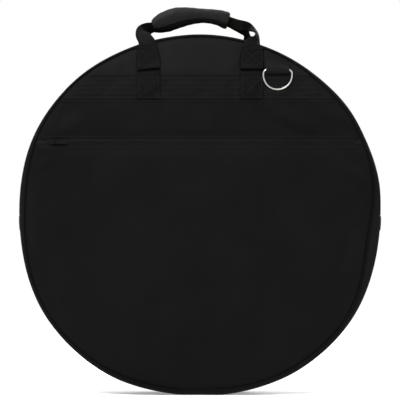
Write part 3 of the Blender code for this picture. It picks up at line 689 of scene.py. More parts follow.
def make_piece(
    name: str,
    points: Array,
    faces: Sequence[Sequence[int]],
    looks: Sequence[Look],
    picks: Sequence[int] | None = None,
    sharp: float = 40.0,
) -> Piece:
    """Make a closed piece with its faces outwards.

    Args:
        name: The piece's name.
        points: Its corners.
        faces: Its faces, as indices of corners.
        looks: Its finishes.
        picks: Which finish each face has.
        sharp: The angle in degrees past which an edge stays sharp.

    Returns:
        The piece.
    """
    mesh = bpy.data.meshes.new(name)
    mesh.from_pydata([tuple(point) for point in points], [], [tuple(face) for face in faces])
    for look in looks:
        mesh.materials.append(look)
    if picks is not None:
        mesh.polygons.foreach_set("material_index", list(picks))
    work = bmesh.new()
    work.from_mesh(mesh)
    bmesh.ops.recalc_face_normals(work, faces=work.faces)
    work.to_mesh(mesh)
    work.free()
    mesh.shade_smooth()
    mesh.set_sharp_from_angle(angle=math.radians(sharp))
    return add_object(name, mesh)


def loft(
    name: str,
    rings: Sequence[Sequence[Point]],
    looks: Sequence[Look],
    picks: Callable[[int, int], int] = lambda i, j: 0,
    joined: bool = False,
    sharp: float = 40.0,
) -> Piece:
    """Skin a row of closed sections, with lengthwise coordinates for the weave.

    Args:
        name: The piece's name.
        rings: The sections' points.
        looks: The finishes.
        picks: Which finish the face at a section and point has.
        joined: Whether the last section meets the first.
        sharp: The angle in degrees past which an edge stays sharp.

    Returns:
        The piece.
    """
    rings = np.array([[tuple(point) for point in ring] for ring in rings])
    count, sides, _ = rings.shape
    spots = [(i, j) for i in range(count if joined else count - 1) for j in range(sides)]
    faces = []
    for i, j in spots:
        k, after = (j + 1) % sides, (i + 1) % count
        faces.append((i * sides + j, i * sides + k, after * sides + k, after * sides + j))
    if not joined:
        faces += [range(sides), range((count - 1) * sides, count * sides)]
        spots += [(0, 0), (count - 2, 0)]
    piece = make_piece(name, rings.reshape(-1, 3), faces, looks, [picks(i, j) for i, j in spots], sharp)
    along, around = (
        np.concatenate([[0], np.cumsum(np.linalg.norm(np.diff(line, axis=0), axis=1))])
        for line in (rings.mean(axis=1), rings[count // 2])
    )
    corners = np.zeros(len(piece.data.loops), dtype=int)
    piece.data.loops.foreach_get("vertex_index", corners)
    places = np.stack([along[corners // sides], around[corners % sides]], axis=1)
    piece.data.uv_layers.new(name="strap").data.foreach_set("uv", places.ravel())
    return piece


def prisms(name: str, pairs: Sequence[tuple[Sequence[Point], Sequence[Point]]], look: Look) -> Piece:
    """Make a row of zip teeth.

    Args:
        name: The piece's name.
        pairs: The two end sections of each tooth, all with as many points.
        look: The finish.

    Returns:
        The teeth, as one piece.
    """
    sides = len(pairs[0][0])
    points = [point for pair in pairs for section in pair for point in section]
    faces = []
    for base in range(0, len(points), 2 * sides):
        far = base + sides
        faces += [(base + k, base + (k + 1) % sides, far + (k + 1) % sides, far + k) for k in range(sides)]
        faces += [range(base, far), range(far, far + sides)]
    return make_piece(name, np.array(points), faces, [look])


def flat_disc(
    rim: Callable[[float], float],
    low: float | None = None,
    high: float | None = None,
    lines: Sequence[float] = (),
) -> Sheet:
    """A round sheet in the bag's plane, trimmed at two heights.

    Args:
        rim: The radius at a bearing.
        low: The height of its lower edge.
        high: The height of its upper edge.
        lines: Further heights that get a row of points.

    Returns:
        The sheet, its points at (x, 0, height).
    """
    work = bmesh.new()
    middle = work.verts.new((0, 0, 0))
    bearings = [360 * spoke / DISC_SPOKES for spoke in range(DISC_SPOKES)]
    edge = [(float(rim(b)), math.sin(math.radians(b)), math.cos(math.radians(b))) for b in bearings]
    rows = []
    for ring in range(1, DISC_RINGS + 1):
        share = ring / DISC_RINGS
        rows.append([work.verts.new((r * share * sine, 0, r * share * cosine)) for r, sine, cosine in edge])
    for spoke in range(DISC_SPOKES):
        after = (spoke + 1) % DISC_SPOKES
        work.faces.new((middle, rows[0][spoke], rows[0][after]))
        for row, outer in zip(rows, rows[1:]):
            work.faces.new((row[spoke], outer[spoke], outer[after], row[after]))
    cuts = [(low, True, False), (high, False, True), *((line, False, False) for line in lines)]
    for height, below, above in cuts:
        if height is not None:
            geometry = [*work.verts, *work.edges, *work.faces]
            plane = {"plane_co": (0, 0, height), "plane_no": (0, 0, 1)}
            bmesh.ops.bisect_plane(work, geom=geometry, **plane, clear_inner=below, clear_outer=above)
    bmesh.ops.remove_doubles(work, verts=work.verts, dist=0.0002)
    return work


def flat_rectangle(middle: float, half: float, low: float, high: float, step: float) -> Sheet:
    """An upright rectangular sheet of small squares in the bag's plane."""
    work = bmesh.new()
    columns, rows = max(1, round(2 * half / step)), max(1, round((high - low) / step))
    grid = [
        [
            work.verts.new((middle - half + 2 * half * i / columns, 0, low + (high - low) * j / rows))
            for i in range(columns + 1)
        ]
        for j in range(rows + 1)
    ]
    for row, above in zip(grid, grid[1:]):
        for i in range(columns):
            work.faces.new((row[i], row[i + 1], above[i + 1], above[i]))
    return work


def layer(
    name: str,
    flat: Sheet,
    outer: Depths,
    inner: Depths,
    looks: Sequence[Look],
    side: int,
    roll: float = ROLL,
) -> Piece:
    """Close a flat sheet into a layer between two depths, with a rolled edge.

    Args:
        name: The piece's name.
        flat: The sheet, its points at (x, 0, height). It is freed.
        outer: The depth of the outer surface.
        inner: The depth of the inner surface.
        looks: The finishes of the outside and, where there are two, of the inside.
        side: FRONT or BACK.
        roll: How far the edge bulges.

    Returns:
        The piece.
    """
    flat.verts.index_update()
    x, height = np.array([(v.co.x, v.co.z) for v in flat.verts]).T
    top, base = (
        np.stack([x, side * surface(x, height), height + CENTRE], axis=1) for surface in (outer, inner)
    )
    count = len(x)
    faces = [[v.index for v in face.verts] for face in flat.faces]
    border = border_pairs(faces)
    picks = [0] * len(faces) + [len(looks) - 1] * len(faces) + [0] * (2 * len(border))
    faces += [[index + count for index in reversed(face)] for face in faces]
    outward: dict[int, Vector] = {}
    for edge in (edge for edge in flat.edges if edge.is_boundary):
        a, b = edge.verts
        along = (b.co - a.co).normalized()
        away = Vector((along.z, 0, -along.x))
        if away.dot(a.co - edge.link_faces[0].calc_center_median()) < 0:
            away = -away
        for vertex in (a, b):
            outward[vertex.index] = outward.get(vertex.index, Vector()) + away
    flat.free()
    middle_of = {index: 2 * count + place for place, index in enumerate(outward)}
    edge_way = np.array([tuple(away.normalized()) for away in outward.values()])
    middles = (top[list(outward)] + base[list(outward)]) / 2 + edge_way * roll
    for a, b in border:
        faces.append([b, a, middle_of[a], middle_of[b]])
        faces.append([middle_of[b], middle_of[a], a + count, b + count])
    return make_piece(name, np.concatenate([top, base, middles]), faces, looks, picks)


def border_pairs(faces: Sequence[Sequence[int]]) -> list[tuple[int, int]]:
    """The edges that only one face has, in that face's order."""
    found = set()
    for face in faces:
        for a, b in zip(face, [*face[1:], face[0]]):
            if (b, a) in found:
                found.remove((b, a))
            else:
                found.add((a, b))
    return sorted(found)


def shaped(surface: Depths, steps: Sequence[Point] = (), ridges: Sequence[Point] = ()) -> Depths:
    """A surface with smooth steps and ridges up its height.

    Args:
        surface: The plain surface.
        steps: The start, the width and the rise of each step. One of negative width rises downwards.
        ridges: The middle, the width and the rise of each ridge.

    Returns:
        The depth of that surface at given places.
    """

    def depth(x: Array, height: Array) -> Array:
        """The depth at each place."""
        total = surface(x, height)
        for start, width, rise in steps:
            total = total + rise * smooth_step((height - start) / width)
        for middle, width, rise in ridges:
            total = total + rise * bell(height - middle, width)
        return total

    return depth


def sew_on(
    name: str, nodes: Sequence[str], flat: Sheet, outer: Depths, face: Face, look: Look, **options: object
) -> Piece:
    """Sew a layer of cloth or webbing on a panel.

    Args:
        name: The piece's name.
        nodes: The nodes that it replaces.
        flat: Its flat shape.
        outer: The depth of its outer surface.
        face: The panel's surface.
        look: Its finish.
        **options: Its body, slot, inner surface or roll, where they aren't a strap's.

    Returns:
        The piece.
    """
    inner, roll = options.get("inner", face.over(FOOT)), options.get("roll", ROLL)
    body = options.get("body", "lid" if face.side == FRONT else "shell")
    piece = layer(name, flat, outer, inner, [look], face.side, roll)
    return dress(piece, nodes, body, options.get("slot", "webbing"))


@dataclass(frozen=True)
class Thread:
    """Sewing thread laid in separate stitches."""

    look: Look
    pitch: float = 0.0032
    length: float = 0.0024
    width: float = 0.00075

    def sew(self, name: str, paths: Sequence[Sequence[Vector]], outward: Callable[[Vector], Vector]) -> Piece:
        """Lay stitches along paths.

        Args:
            name: The piece's name.
            paths: The places that each row runs through.
            outward: The way out of the cloth at a place.

        Returns:
            The stitches, as one piece.
        """
        points: list[Point] = []
        faces: list[Sequence[int]] = []
        for path in paths:
            for middle, along in self.steps(path):
                out = outward(middle)
                across = along.cross(out).normalized() * self.width / 2
                rise = out.normalized() * self.width / 2
                base = len(points)
                points.append(tuple(middle - along * self.length / 2 - rise * 0.8))
                for reach in (-0.3, 0.3):
                    spot = middle + along * self.length * reach
                    points += [tuple(spot + shift) for shift in (across, rise, -across, -rise)]
                points.append(tuple(middle + along * self.length / 2 - rise * 0.8))
                for k in range(4):
                    n = (k + 1) % 4
                    faces.append((base, base + 1 + n, base + 1 + k))
                    faces.append((base + 1 + k, base + 1 + n, base + 5 + n, base + 5 + k))
                    faces.append((base + 9, base + 5 + k, base + 5 + n))
        return make_piece(name, np.array(points), faces, [self.look], sharp=80)

    def steps(self, path: Sequence[Vector]) -> list[tuple[Vector, Vector]]:
        """The middle and direction of each stitch along a path."""
        found = []
        wait = self.pitch / 2
        for start, end in zip(path, path[1:]):
            run = end - start
            length = run.length
            while wait < length:
                found.append((start + run * (wait / length), run / length))
                wait += self.pitch
            wait -= length
        return found


def on_surface(
    depth: Depths, side: int, spots: Sequence[Pair], step: float = 0.004, sink: float = 0.0
) -> list[Vector]:
    """Points along a line over a surface.

    Args:
        depth: The surface.
        side: FRONT or BACK.
        spots: The line's corners, as (x, height).
        step: How close the points are.
        sink: How far the points lie under the surface.

    Returns:
        The points.
    """
    made = []
    for (x0, h0), (x1, h1) in zip(spots, spots[1:]):
        count = max(1, round(math.hypot(x1 - x0, h1 - h0) / step))
        for index in range(count + (spots[-1] == (x1, h1))):
            share = index / count
            x, height = x0 + (x1 - x0) * share, h0 + (h1 - h0) * share
            out = float(depth(np.array([x]), np.array([height]))[0]) - sink
            made.append(Vector((x, side * out, height + CENTRE)))
    return made


def boxed_cross(left: float, right: float, low: float, high: float) -> list[list[Pair]]:
    """The sewing pattern that holds a strap: a box with a cross in it."""
    box = [(left, low), (right, low), (right, high), (left, high), (left, low)]
    return [box, [(left, low), (right, high)], [(left, high), (right, low)]]


def pressed(across: Array, up: Array, cross_width: float, box_width: float) -> tuple[Array, Array]:
    """How far a boxed cross of stitches presses a strap down.

    Args:
        across: Places across the pattern, from -1 to 1.
        up: Places up the pattern, from -1 to 1.
        cross_width: How wide the cross presses.
        box_width: How wide the box presses.

    Returns:
        The shares of the cross and of the box.
    """
    cross = np.minimum(np.abs(across - up), np.abs(across + up))
    box = np.maximum(np.abs(across), np.abs(up)) - 0.88
    return bell(cross, cross_width), bell(box, box_width)


@dataclass(frozen=True)
class Finishes:
    """Every finish on the bag."""

    cloth: Look
    pocket: Look
    wall: Look
    piping: Look
    lining: Look
    band: Look
    strap: Look
    loop: Look
    shade: Look
    tape: Look
    coil: Look
    grip: Look
    underside: Look
    coarse: Look
    thread: Look
    enamel: Look
    nickel: Look

    @classmethod
    def make(cls) -> "Finishes":
        """Put every finish together."""
        up = {"chevrons": True, "grain": Grain.UPRIGHT}
        along = {"chevrons": True, "grain": Grain.LENGTHWISE}
        plain = {"grain": Grain.LENGTHWISE}
        coarse = {"mottle": 0.45, "dust": (0.018, 0.015, 0.009), "dust_share": 0.5, **plain}
        made = {
            # The panel's nylon and the pocket's are one cloth in lit and shaded copies: the panel, seen above
            # the band, is painted lighter than the pocket below it, painted light from above on the upper
            # front.
            "cloth": Weave("black_nylon", dark(53, 53, 53), 0.0009, 0.00010, specular=0.05, sheen=0.02),
            "pocket": Weave("pocket_nylon", dark(31, 30, 30), 0.0009, 0.00010, specular=0.04, sheen=0.01),
            "wall": Weave("wall_nylon", dark(47, 46, 46), 0.0009, 0.00010, specular=0.03, sheen=0.01),
            "piping": Weave("piping_cloth", dark(32, 31, 31), 0.0007, 0.00008, specular=0.03),
            "lining": Weave("black_lining", dark(110, 110, 114), 0.0012, 0.00012, 0.85, 0.05),
            "band": Weave("band_webbing", dark(35, 33, 33), 0.0018, 0.00028, 0.70, 0.045, chevrons=True),
            "strap": Weave("strap_webbing", dark(22, 21, 21), 0.0018, 0.00030, 0.66, 0.045, **up),
            "loop": Weave("loop_webbing", dark(26, 25, 25), 0.0018, 0.00030, 0.66, 0.045, **along),
            # Painted shade: webbing painted near black for the back loop, the insides of the front loop's
            # folds and the under plies in the slits, where shadow falls.
            "shade": Weave("painted_shade_webbing", dark(12, 12, 12), 0.0018, 0.00030, 0.80, 0.02, **plain),
            # The zip's tape and coil are painted lighter than the pocket cloth round them: painted light that
            # evens out the shade in the pocket zip's recess.
            "tape": Weave("zip_tape", dark(58, 57, 57), 0.0010, 0.00010, specular=0.04),
            "coil": Smooth("zip_coil", dark(60, 60, 60), 0.50, 0.06),
            "grip": Weave("grip_cloth", dark(44, 44, 43), 0.0008, 0.00008, 0.50, 0.09, mottle=0.22, **plain),
            "underside": Weave(
                "grip_underside", dark(28, 28, 27), 0.0026, 0.00055, 0.85, 0.03, mottle=0.5, **plain
            ),
            "coarse": Weave("coarse_strap", dark(24, 21, 14), 0.0030, 0.00070, 0.80, 0.03, **coarse),
            "thread": Smooth("thread", dark(90, 86, 84), 0.55, 0.12),
            "enamel": Smooth("slider_lacquer", dark(22, 22, 23), 0.42, 0.10),
            "nickel": Metal("bright_nickel", (0.40, 0.395, 0.375), 0.32),
        }
        return cls(**{name: finish.make() for name, finish in made.items()})


@dataclass
class Panels:
    """The padded front and back panels. The front one is whole, with extra rows of points at the lid's
    crease.
    """

    looks: Finishes
    front: Face
    back: Face
    lining_depth: float = 0.0296

    def lining_at(self, x: Array, height: Array) -> Array:
        """The depth of the inside, which puffs a little between its seams."""
        return self.lining_depth + 0.0040 * smooth_step((np.hypot(x, height) - 0.278) / 0.012)

    def build(self) -> list[Piece]:
        """Make both panels."""
        layers = ("cloth", "foam", "lining")
        front_nodes = [f"front_{half}_{ply}" for half in ("upper", "lower") for ply in layers]
        made = []
        for name, face, lines, nodes in (
            ("front_panel", self.front, BEND_LINES, front_nodes),
            ("back_panel", self.back, (), [f"back_panel_{ply}" for ply in layers]),
        ):
            flat, looks = flat_disc(face.panel_radius, lines=lines), [self.looks.cloth, self.looks.lining]
            panel = layer(name, flat, face.at, self.lining_at, looks, face.side)
            dress(panel, nodes, FOLLOWS[face.side], "nylon")
            made.append(panel)
        return made


@dataclass
class Gusset:
    """The wall between the panels: padded below, and two strips beside the zip above.

    The strips' slope gives shares of the bulge at depths.
    """

    looks: Finishes
    cloth: float = 0.0010
    lining_radius: float = 0.2931
    zip_edge: float = 0.0078
    hem_base: float = 0.2956
    hem_fold: float = 0.0060
    stitch_depth: float = 0.0112
    piping_radius: float = 0.0013
    shoulder_steps: int = 7
    slope: tuple[Pair, ...] = ((0.92, 0.0180), (0.5, 0.0150), (0.1, 0.0125))

    def shoulder(self, bearing: float, side: int) -> list[Pair]:
        """The line from a seam over the shoulder to the flat of the gusset, as (radius, depth) points."""
        seam, outline = float(RIM.seam(bearing, side)), float(RIM.outline(bearing))
        made = []
        for index in range(self.shoulder_steps + 1):
            turn = index / self.shoulder_steps * math.pi / 2
            radius = seam + (outline - seam) * math.sin(turn) ** 0.8
            made.append((radius, side * (RIM.half_depth - RIM.shoulder * (1 - math.cos(turn)) ** 1.2)))
        return made

    def lower_section(self, bearing: float) -> tuple[list[Pair], int]:
        """The padded section, and how many of its points are outside."""
        front, back = self.shoulder(bearing, FRONT), self.shoulder(bearing, BACK)
        outline = float(RIM.outline(bearing)) + 0.0002
        outer = front + [(outline, depth) for depth in (-0.012, 0.0, 0.012)] + back[::-1]
        front_seam, back_seam = front[0][0], back[0][0]
        inner = [
            (back_seam - 0.0010, 0.0338),
            (min(back_seam, self.lining_radius) + 0.0002, 0.0316),
            *((self.lining_radius, depth) for depth in (0.0262, 0.0, -0.0262)),
            (min(front_seam, self.lining_radius) + 0.0002, -0.0316),
            (front_seam - 0.0010, -0.0338),
        ]
        return outer + inner, len(outer)

    def build_lower(self) -> Piece:
        """The padded lower half, which the bag stands on."""
        sections = [self.lower_section(b) for b in LOWER]
        outside = sections[0][1]
        rings = [[on_rim(b, *spot) for spot in section] for b, (section, _) in zip(LOWER, sections)]
        finishes = [self.looks.wall, self.looks.lining]
        piece = loft("gusset_lower", rings, finishes, lambda _, j: int(j >= outside - 1))
        dress(piece, [f"gusset_lower_{ply}" for ply in ("cloth", "foam", "lining")], "shell", "nylon")
        return piece

    def strip_section(self, bearing: float, side: int) -> list[Pair]:
        """The section of the cloth strip between a seam and the zip, with its folded hem."""
        crest, plain = float(RIM.outline(bearing)), float(RIM.hem(bearing))
        slope = [(plain + (crest - plain) * share, depth) for share, depth in self.slope]
        seam = self.shoulder(bearing, side)
        return [
            *seam,
            *((radius + 0.0003, side * depth) for radius, depth in slope),
            (plain, side * self.stitch_depth),
            (plain - 0.0006, side * 0.0088),
            (plain - 0.0017, side * self.zip_edge),
            (self.hem_base, side * self.zip_edge),
            (self.hem_base, side * 0.0098),
            (plain - 0.0012, side * self.stitch_depth),
            *((radius - 0.0010, side * (depth + 0.0004)) for radius, depth in slope[::-1]),
            *((radius - 0.0006, depth - side * self.cloth * 0.8) for radius, depth in seam[::-1]),
        ]

    def build_strip(self, node: str, side: int) -> Piece:
        """One strip beside the zip."""
        rings = [[on_rim(b, *spot) for spot in self.strip_section(b % 360, side)] for b in ARCH]
        strip = dress(loft(f"{node}_cloth", rings, [self.looks.wall]), [node], FOLLOWS[side], "nylon")
        flat = (RIM.half_depth - self.zip_edge + 2 * self.hem_fold, math.pi * RIM.radius)
        return strip

    def build_piping(self, name: str, side: int, nodes: Sequence[str]) -> Piece:
        """The covered cord in one seam."""
        depth = RIM.half_depth + self.piping_radius + 0.0002
        rings = []
        for b in ROUND:
            swell = self.piping_radius * (1 + 0.10 * math.sin(b * 1.9))
            section = arc((float(RIM.seam(b, side)) + 0.0003, depth), swell, swell, 0, 4, 11)[:-1]
            rings.append([on_rim(b, radius, side * out) for radius, out in section])
        piping = loft(name, rings, [self.looks.piping], joined=True, sharp=80)
        return dress(piping, nodes, FOLLOWS[side], "nylon")

    def build_stitching(self, name: str, side: int) -> Piece:
        """The row of stitches along one hem of the zip."""
        path = [
            Vector(on_rim(b, float(RIM.hem(b % 360)) - 0.00005, side * self.stitch_depth))
            for b in np.linspace(-88.5, 88.5, 160)
        ]
        piece = Thread(self.looks.thread).sew(name, [path], lambda p: Vector((p.x, 0, p.z - CENTRE)))
        return dress(piece, [], FOLLOWS[side], "nylon")

    def build(self) -> list[Piece]:
        """Make the gusset, both pipings and the stitches of both hems."""
        return [
            self.build_lower(),
            self.build_strip("gusset_strip_front", FRONT),
            self.build_strip("gusset_strip_back", BACK),
            self.build_piping("front_piping", FRONT, ["piping_front_upper", "piping_front_lower"]),
            self.build_piping("back_piping", BACK, ["piping_back"]),
            self.build_stitching("front_hem_stitches", FRONT),
            self.build_stitching("back_hem_stitches", BACK),
        ]


@dataclass
class MainZip:
    """The zip round the upper half of the gusset. An end tab spans bearings."""

    looks: Finishes
    tape_top: float = 0.2953
    tape_thickness: float = 0.0008
    tape_width: float = 0.0160
    coil_base: float = 0.2956
    coil_top: float = 0.2976
    coil_width: float = 0.0030
    tooth_pitch: float = 0.0017
    start: float = 0.00015
    tab_start: float = 90.3
    tab_span: float = 4.4
    tab_thickness: float = 0.0015

    def build_tape(self, name: str, side: int) -> Piece:
        """One woven tape."""
        top, low = self.tape_top, self.tape_top - self.tape_thickness
        section = [(top, self.start), (top, self.tape_width), (low, self.tape_width), (low, self.start)]
        rings = [[on_rim(b, radius, side * depth) for radius, depth in section] for b in ARCH]
        tape = loft(f"zip_tape_{name}_cloth", rings, [self.looks.tape])
        dress(tape, [f"zip_tape_{name}"], FOLLOWS[side], "zip_tape")
        flat = (self.tape_width, math.pi * self.tape_top)
        return tape

    def build_coil(self, name: str, side: int) -> Piece:
        """One row of coil teeth, which seat between the other row's."""
        count = int(math.pi * self.coil_top / self.tooth_pitch)
        half = self.tooth_pitch * 0.25 / self.coil_top
        shift = 0.25 if side == FRONT else -0.25
        profile = [
            (self.coil_base, self.start + 0.0002),
            (self.coil_base, self.coil_width),
            (self.coil_top - 0.0006, self.coil_width + 0.0001),
            (self.coil_top, self.coil_width - 0.0007),
            (self.coil_top, self.start + 0.0002),
            (self.coil_top - 0.0007, -0.0004),
        ]
        teeth = []
        for index in range(count):
            turn = -math.pi / 2 + math.pi * (index + 0.5 + shift) / count
            ends = (math.degrees(turn - half), math.degrees(turn + half))
            teeth.append([[on_rim(end, radius, side * depth) for radius, depth in profile] for end in ends])
        coil = prisms(f"zip_coil_{name}_teeth", teeth, self.looks.coil)
        return dress(coil, [f"zip_coil_{name}"], FOLLOWS[side], "zip_coil")

    def build_end_tab(self, name: str, way: int) -> Piece:
        """The webbing tab over one end of the zip, on the left (-1) or the right (1)."""
        low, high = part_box(f"zip_end_tab_{name}")
        half = (high.y - low.y) / 2
        near = RIM.radius + 0.0004
        rings = []
        for share in np.linspace(0, 1, 9):
            far = near + self.tab_thickness + 0.0002 * math.sin(math.pi * share)
            rise = [(near, half), (far - 0.0004, half), (far, half - 0.001)]
            section = [(r, -d) for r, d in rise] + [(far + 0.0002, 0.0)] + rise[::-1]
            bearing = way * (self.tab_start + share * self.tab_span)
            rings.append([on_rim(bearing, *spot) for spot in section])
        tab = loft(f"zip_end_{name}_webbing", rings, [self.looks.strap])
        return dress(tab, [f"zip_end_tab_{name}"], "shell", "webbing")

    def dress_sliders(self) -> None:
        """Give the sliders and pulls their lacquer."""
        moving = ("left_slider", "right_slider", "pocket_slider", "left_pull", "right_pull", "pocket_pull")
        for name in moving:
            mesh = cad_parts[name].data
            mesh.materials.clear()
            mesh.materials.append(self.looks.enamel)
            mesh.shade_smooth()
            mesh.set_sharp_from_angle(angle=math.radians(35))

    def build(self) -> list[Piece]:
        """Make the zip."""
        made = []
        for name, side in (("front", FRONT), ("back", BACK)):
            made += [self.build_tape(name, side), self.build_coil(name, side)]
        self.dress_sliders()
        return made + [self.build_end_tab("left", -1), self.build_end_tab("right", 1)]


@dataclass
class Pocket:
    """The flat front pocket: its header, its zip and its face.

    The hems give the start, the width and the rise of each step in the cloth.
    """

    looks: Finishes
    face: Face
    header_top: float = 0.1927
    header_low: float = 0.1263
    ridge: float = 0.1886
    top: float = 0.1180
    proud: float = 0.0023
    zip_gap: float = 0.00015
    coil_width: float = 0.0024
    tooth_pitch: float = 0.0016
    tooth_half: float = 0.0004
    stitch_lines: Pair = (0.1304, 0.1135)
    stitch_radius: float = 0.284
    header_hems: tuple[Point, ...] = (
        (0.1900, 0.0012, -0.0008), (0.1340, -0.0012, 0.0002), (0.1293, -0.0030, -0.0003),
    )  # fmt: skip
    header_lines: tuple[float, ...] = (0.1905, 0.1897, 0.1886, 0.1875, 0.1866, 0.1340, 0.1328, 0.1316, 0.1280)
    face_hems: tuple[Point, ...] = ((0.1095, 0.0012, 0.0002), (0.1150, 0.0030, -0.0006))
    face_lines: tuple[float, ...] = (0.1163, 0.1115, 0.1100, 0.1090)

    def edge(self, bearing: float) -> float:
        """The radius at which the pocket is sewn into the rim."""
        return float(self.face.panel_radius(bearing)) - 0.0004

    def build_header(self) -> Piece:
        """The strip between the band and the zip, with a folded ridge under the band and a hem at the zip."""
        plain = self.face.over(self.proud - 0.0004, EDGE_PROUD)
        outer = shaped(plain, self.header_hems, [(self.ridge, 0.0011, 0.0010)])
        flat = flat_disc(self.edge, self.header_low, self.header_top, self.header_lines)
        look = self.looks.pocket
        return sew_on("pocket_header_cloth", ["pocket_header"], flat, outer, self.face, look, slot="nylon")

    def build_face(self) -> Piece:
        """The pocket's face, with a hem along the zip."""
        outer = shaped(self.face.over(self.proud, EDGE_PROUD), self.face_hems)
        flat = flat_disc(self.edge, None, self.top, (*self.face_lines, *BEND_LINES))
        nodes, where = ["pocket_face_upper", "pocket_face_lower"], {"body": LID_FOLD, "slot": "nylon"}
        return sew_on("pocket_face_cloth", nodes, flat, outer, self.face, self.looks.pocket, **where)

    def build_zip(self) -> list[Piece]:
        """The tapes and the teeth in the pocket's opening."""
        made = []
        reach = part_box("pocket_tape_upper")[1].x
        for name, way, low, high in (
            ("upper", 1, ZIP_LINE + self.zip_gap, self.header_low - 0.0003),
            ("lower", -1, self.top + 0.0003, ZIP_LINE - self.zip_gap),
        ):
            flat, outer = flat_rectangle(0.0, reach, low, high, 0.0026), self.face.over(0.0016)
            node, look = f"pocket_tape_{name}", self.looks.tape
            made.append(sew_on(f"{node}_cloth", [node], flat, outer, self.face, look, slot="zip_tape"))
            made.append(self.build_teeth(name, way, reach))
        return made

    def build_teeth(self, name: str, way: int, reach: float) -> Piece:
        """One row of teeth.

        Args:
            name: "upper" or "lower".
            way: 1 for the upper row, -1 for the lower.
            reach: Half the length of the row.

        Returns:
            The teeth.
        """
        profile = [
            (0.0012, 0.0003),
            (0.0012, self.coil_width),
            (0.0021, self.coil_width),
            (0.0026, self.coil_width - 0.0006),
            (0.0026, 0.0002),
            (0.0020, -0.0004),
        ]
        teeth = []
        for index in range(int(2 * reach / self.tooth_pitch)):
            x = -reach + self.tooth_pitch * (index + (0.75 if way > 0 else 0.25))
            depth = float(self.face.at(np.array([x]), np.array([ZIP_LINE]))[0])
            near, far = (
                [(x + shift, -depth - p, CENTRE + ZIP_LINE + way * up) for p, up in profile]
                for shift in (-self.tooth_half, self.tooth_half)
            )
            teeth.append((near, far))
        row = prisms(f"pocket_coil_{name}_teeth", teeth, self.looks.coil)
        return dress(row, [f"pocket_coil_{name}"], "lid", "zip_coil")

    def build_stitching(self) -> Piece:
        """The rows of stitches along the pocket's hems."""
        surface = self.face.over(self.proud + 0.0004)
        paths = []
        for height in self.stitch_lines:
            half = math.sqrt(self.stitch_radius**2 - height**2)
            paths.append(on_surface(surface, FRONT, [(-half, height), (half, height)]))
        piece = Thread(self.looks.thread).sew("pocket_stitches", paths, lambda _: OUT[FRONT])
        return dress(piece, [], "lid", "nylon")

    def build(self) -> list[Piece]:
        """Make the pocket."""
        return [self.build_header(), self.build_face(), *self.build_zip(), self.build_stitching()]


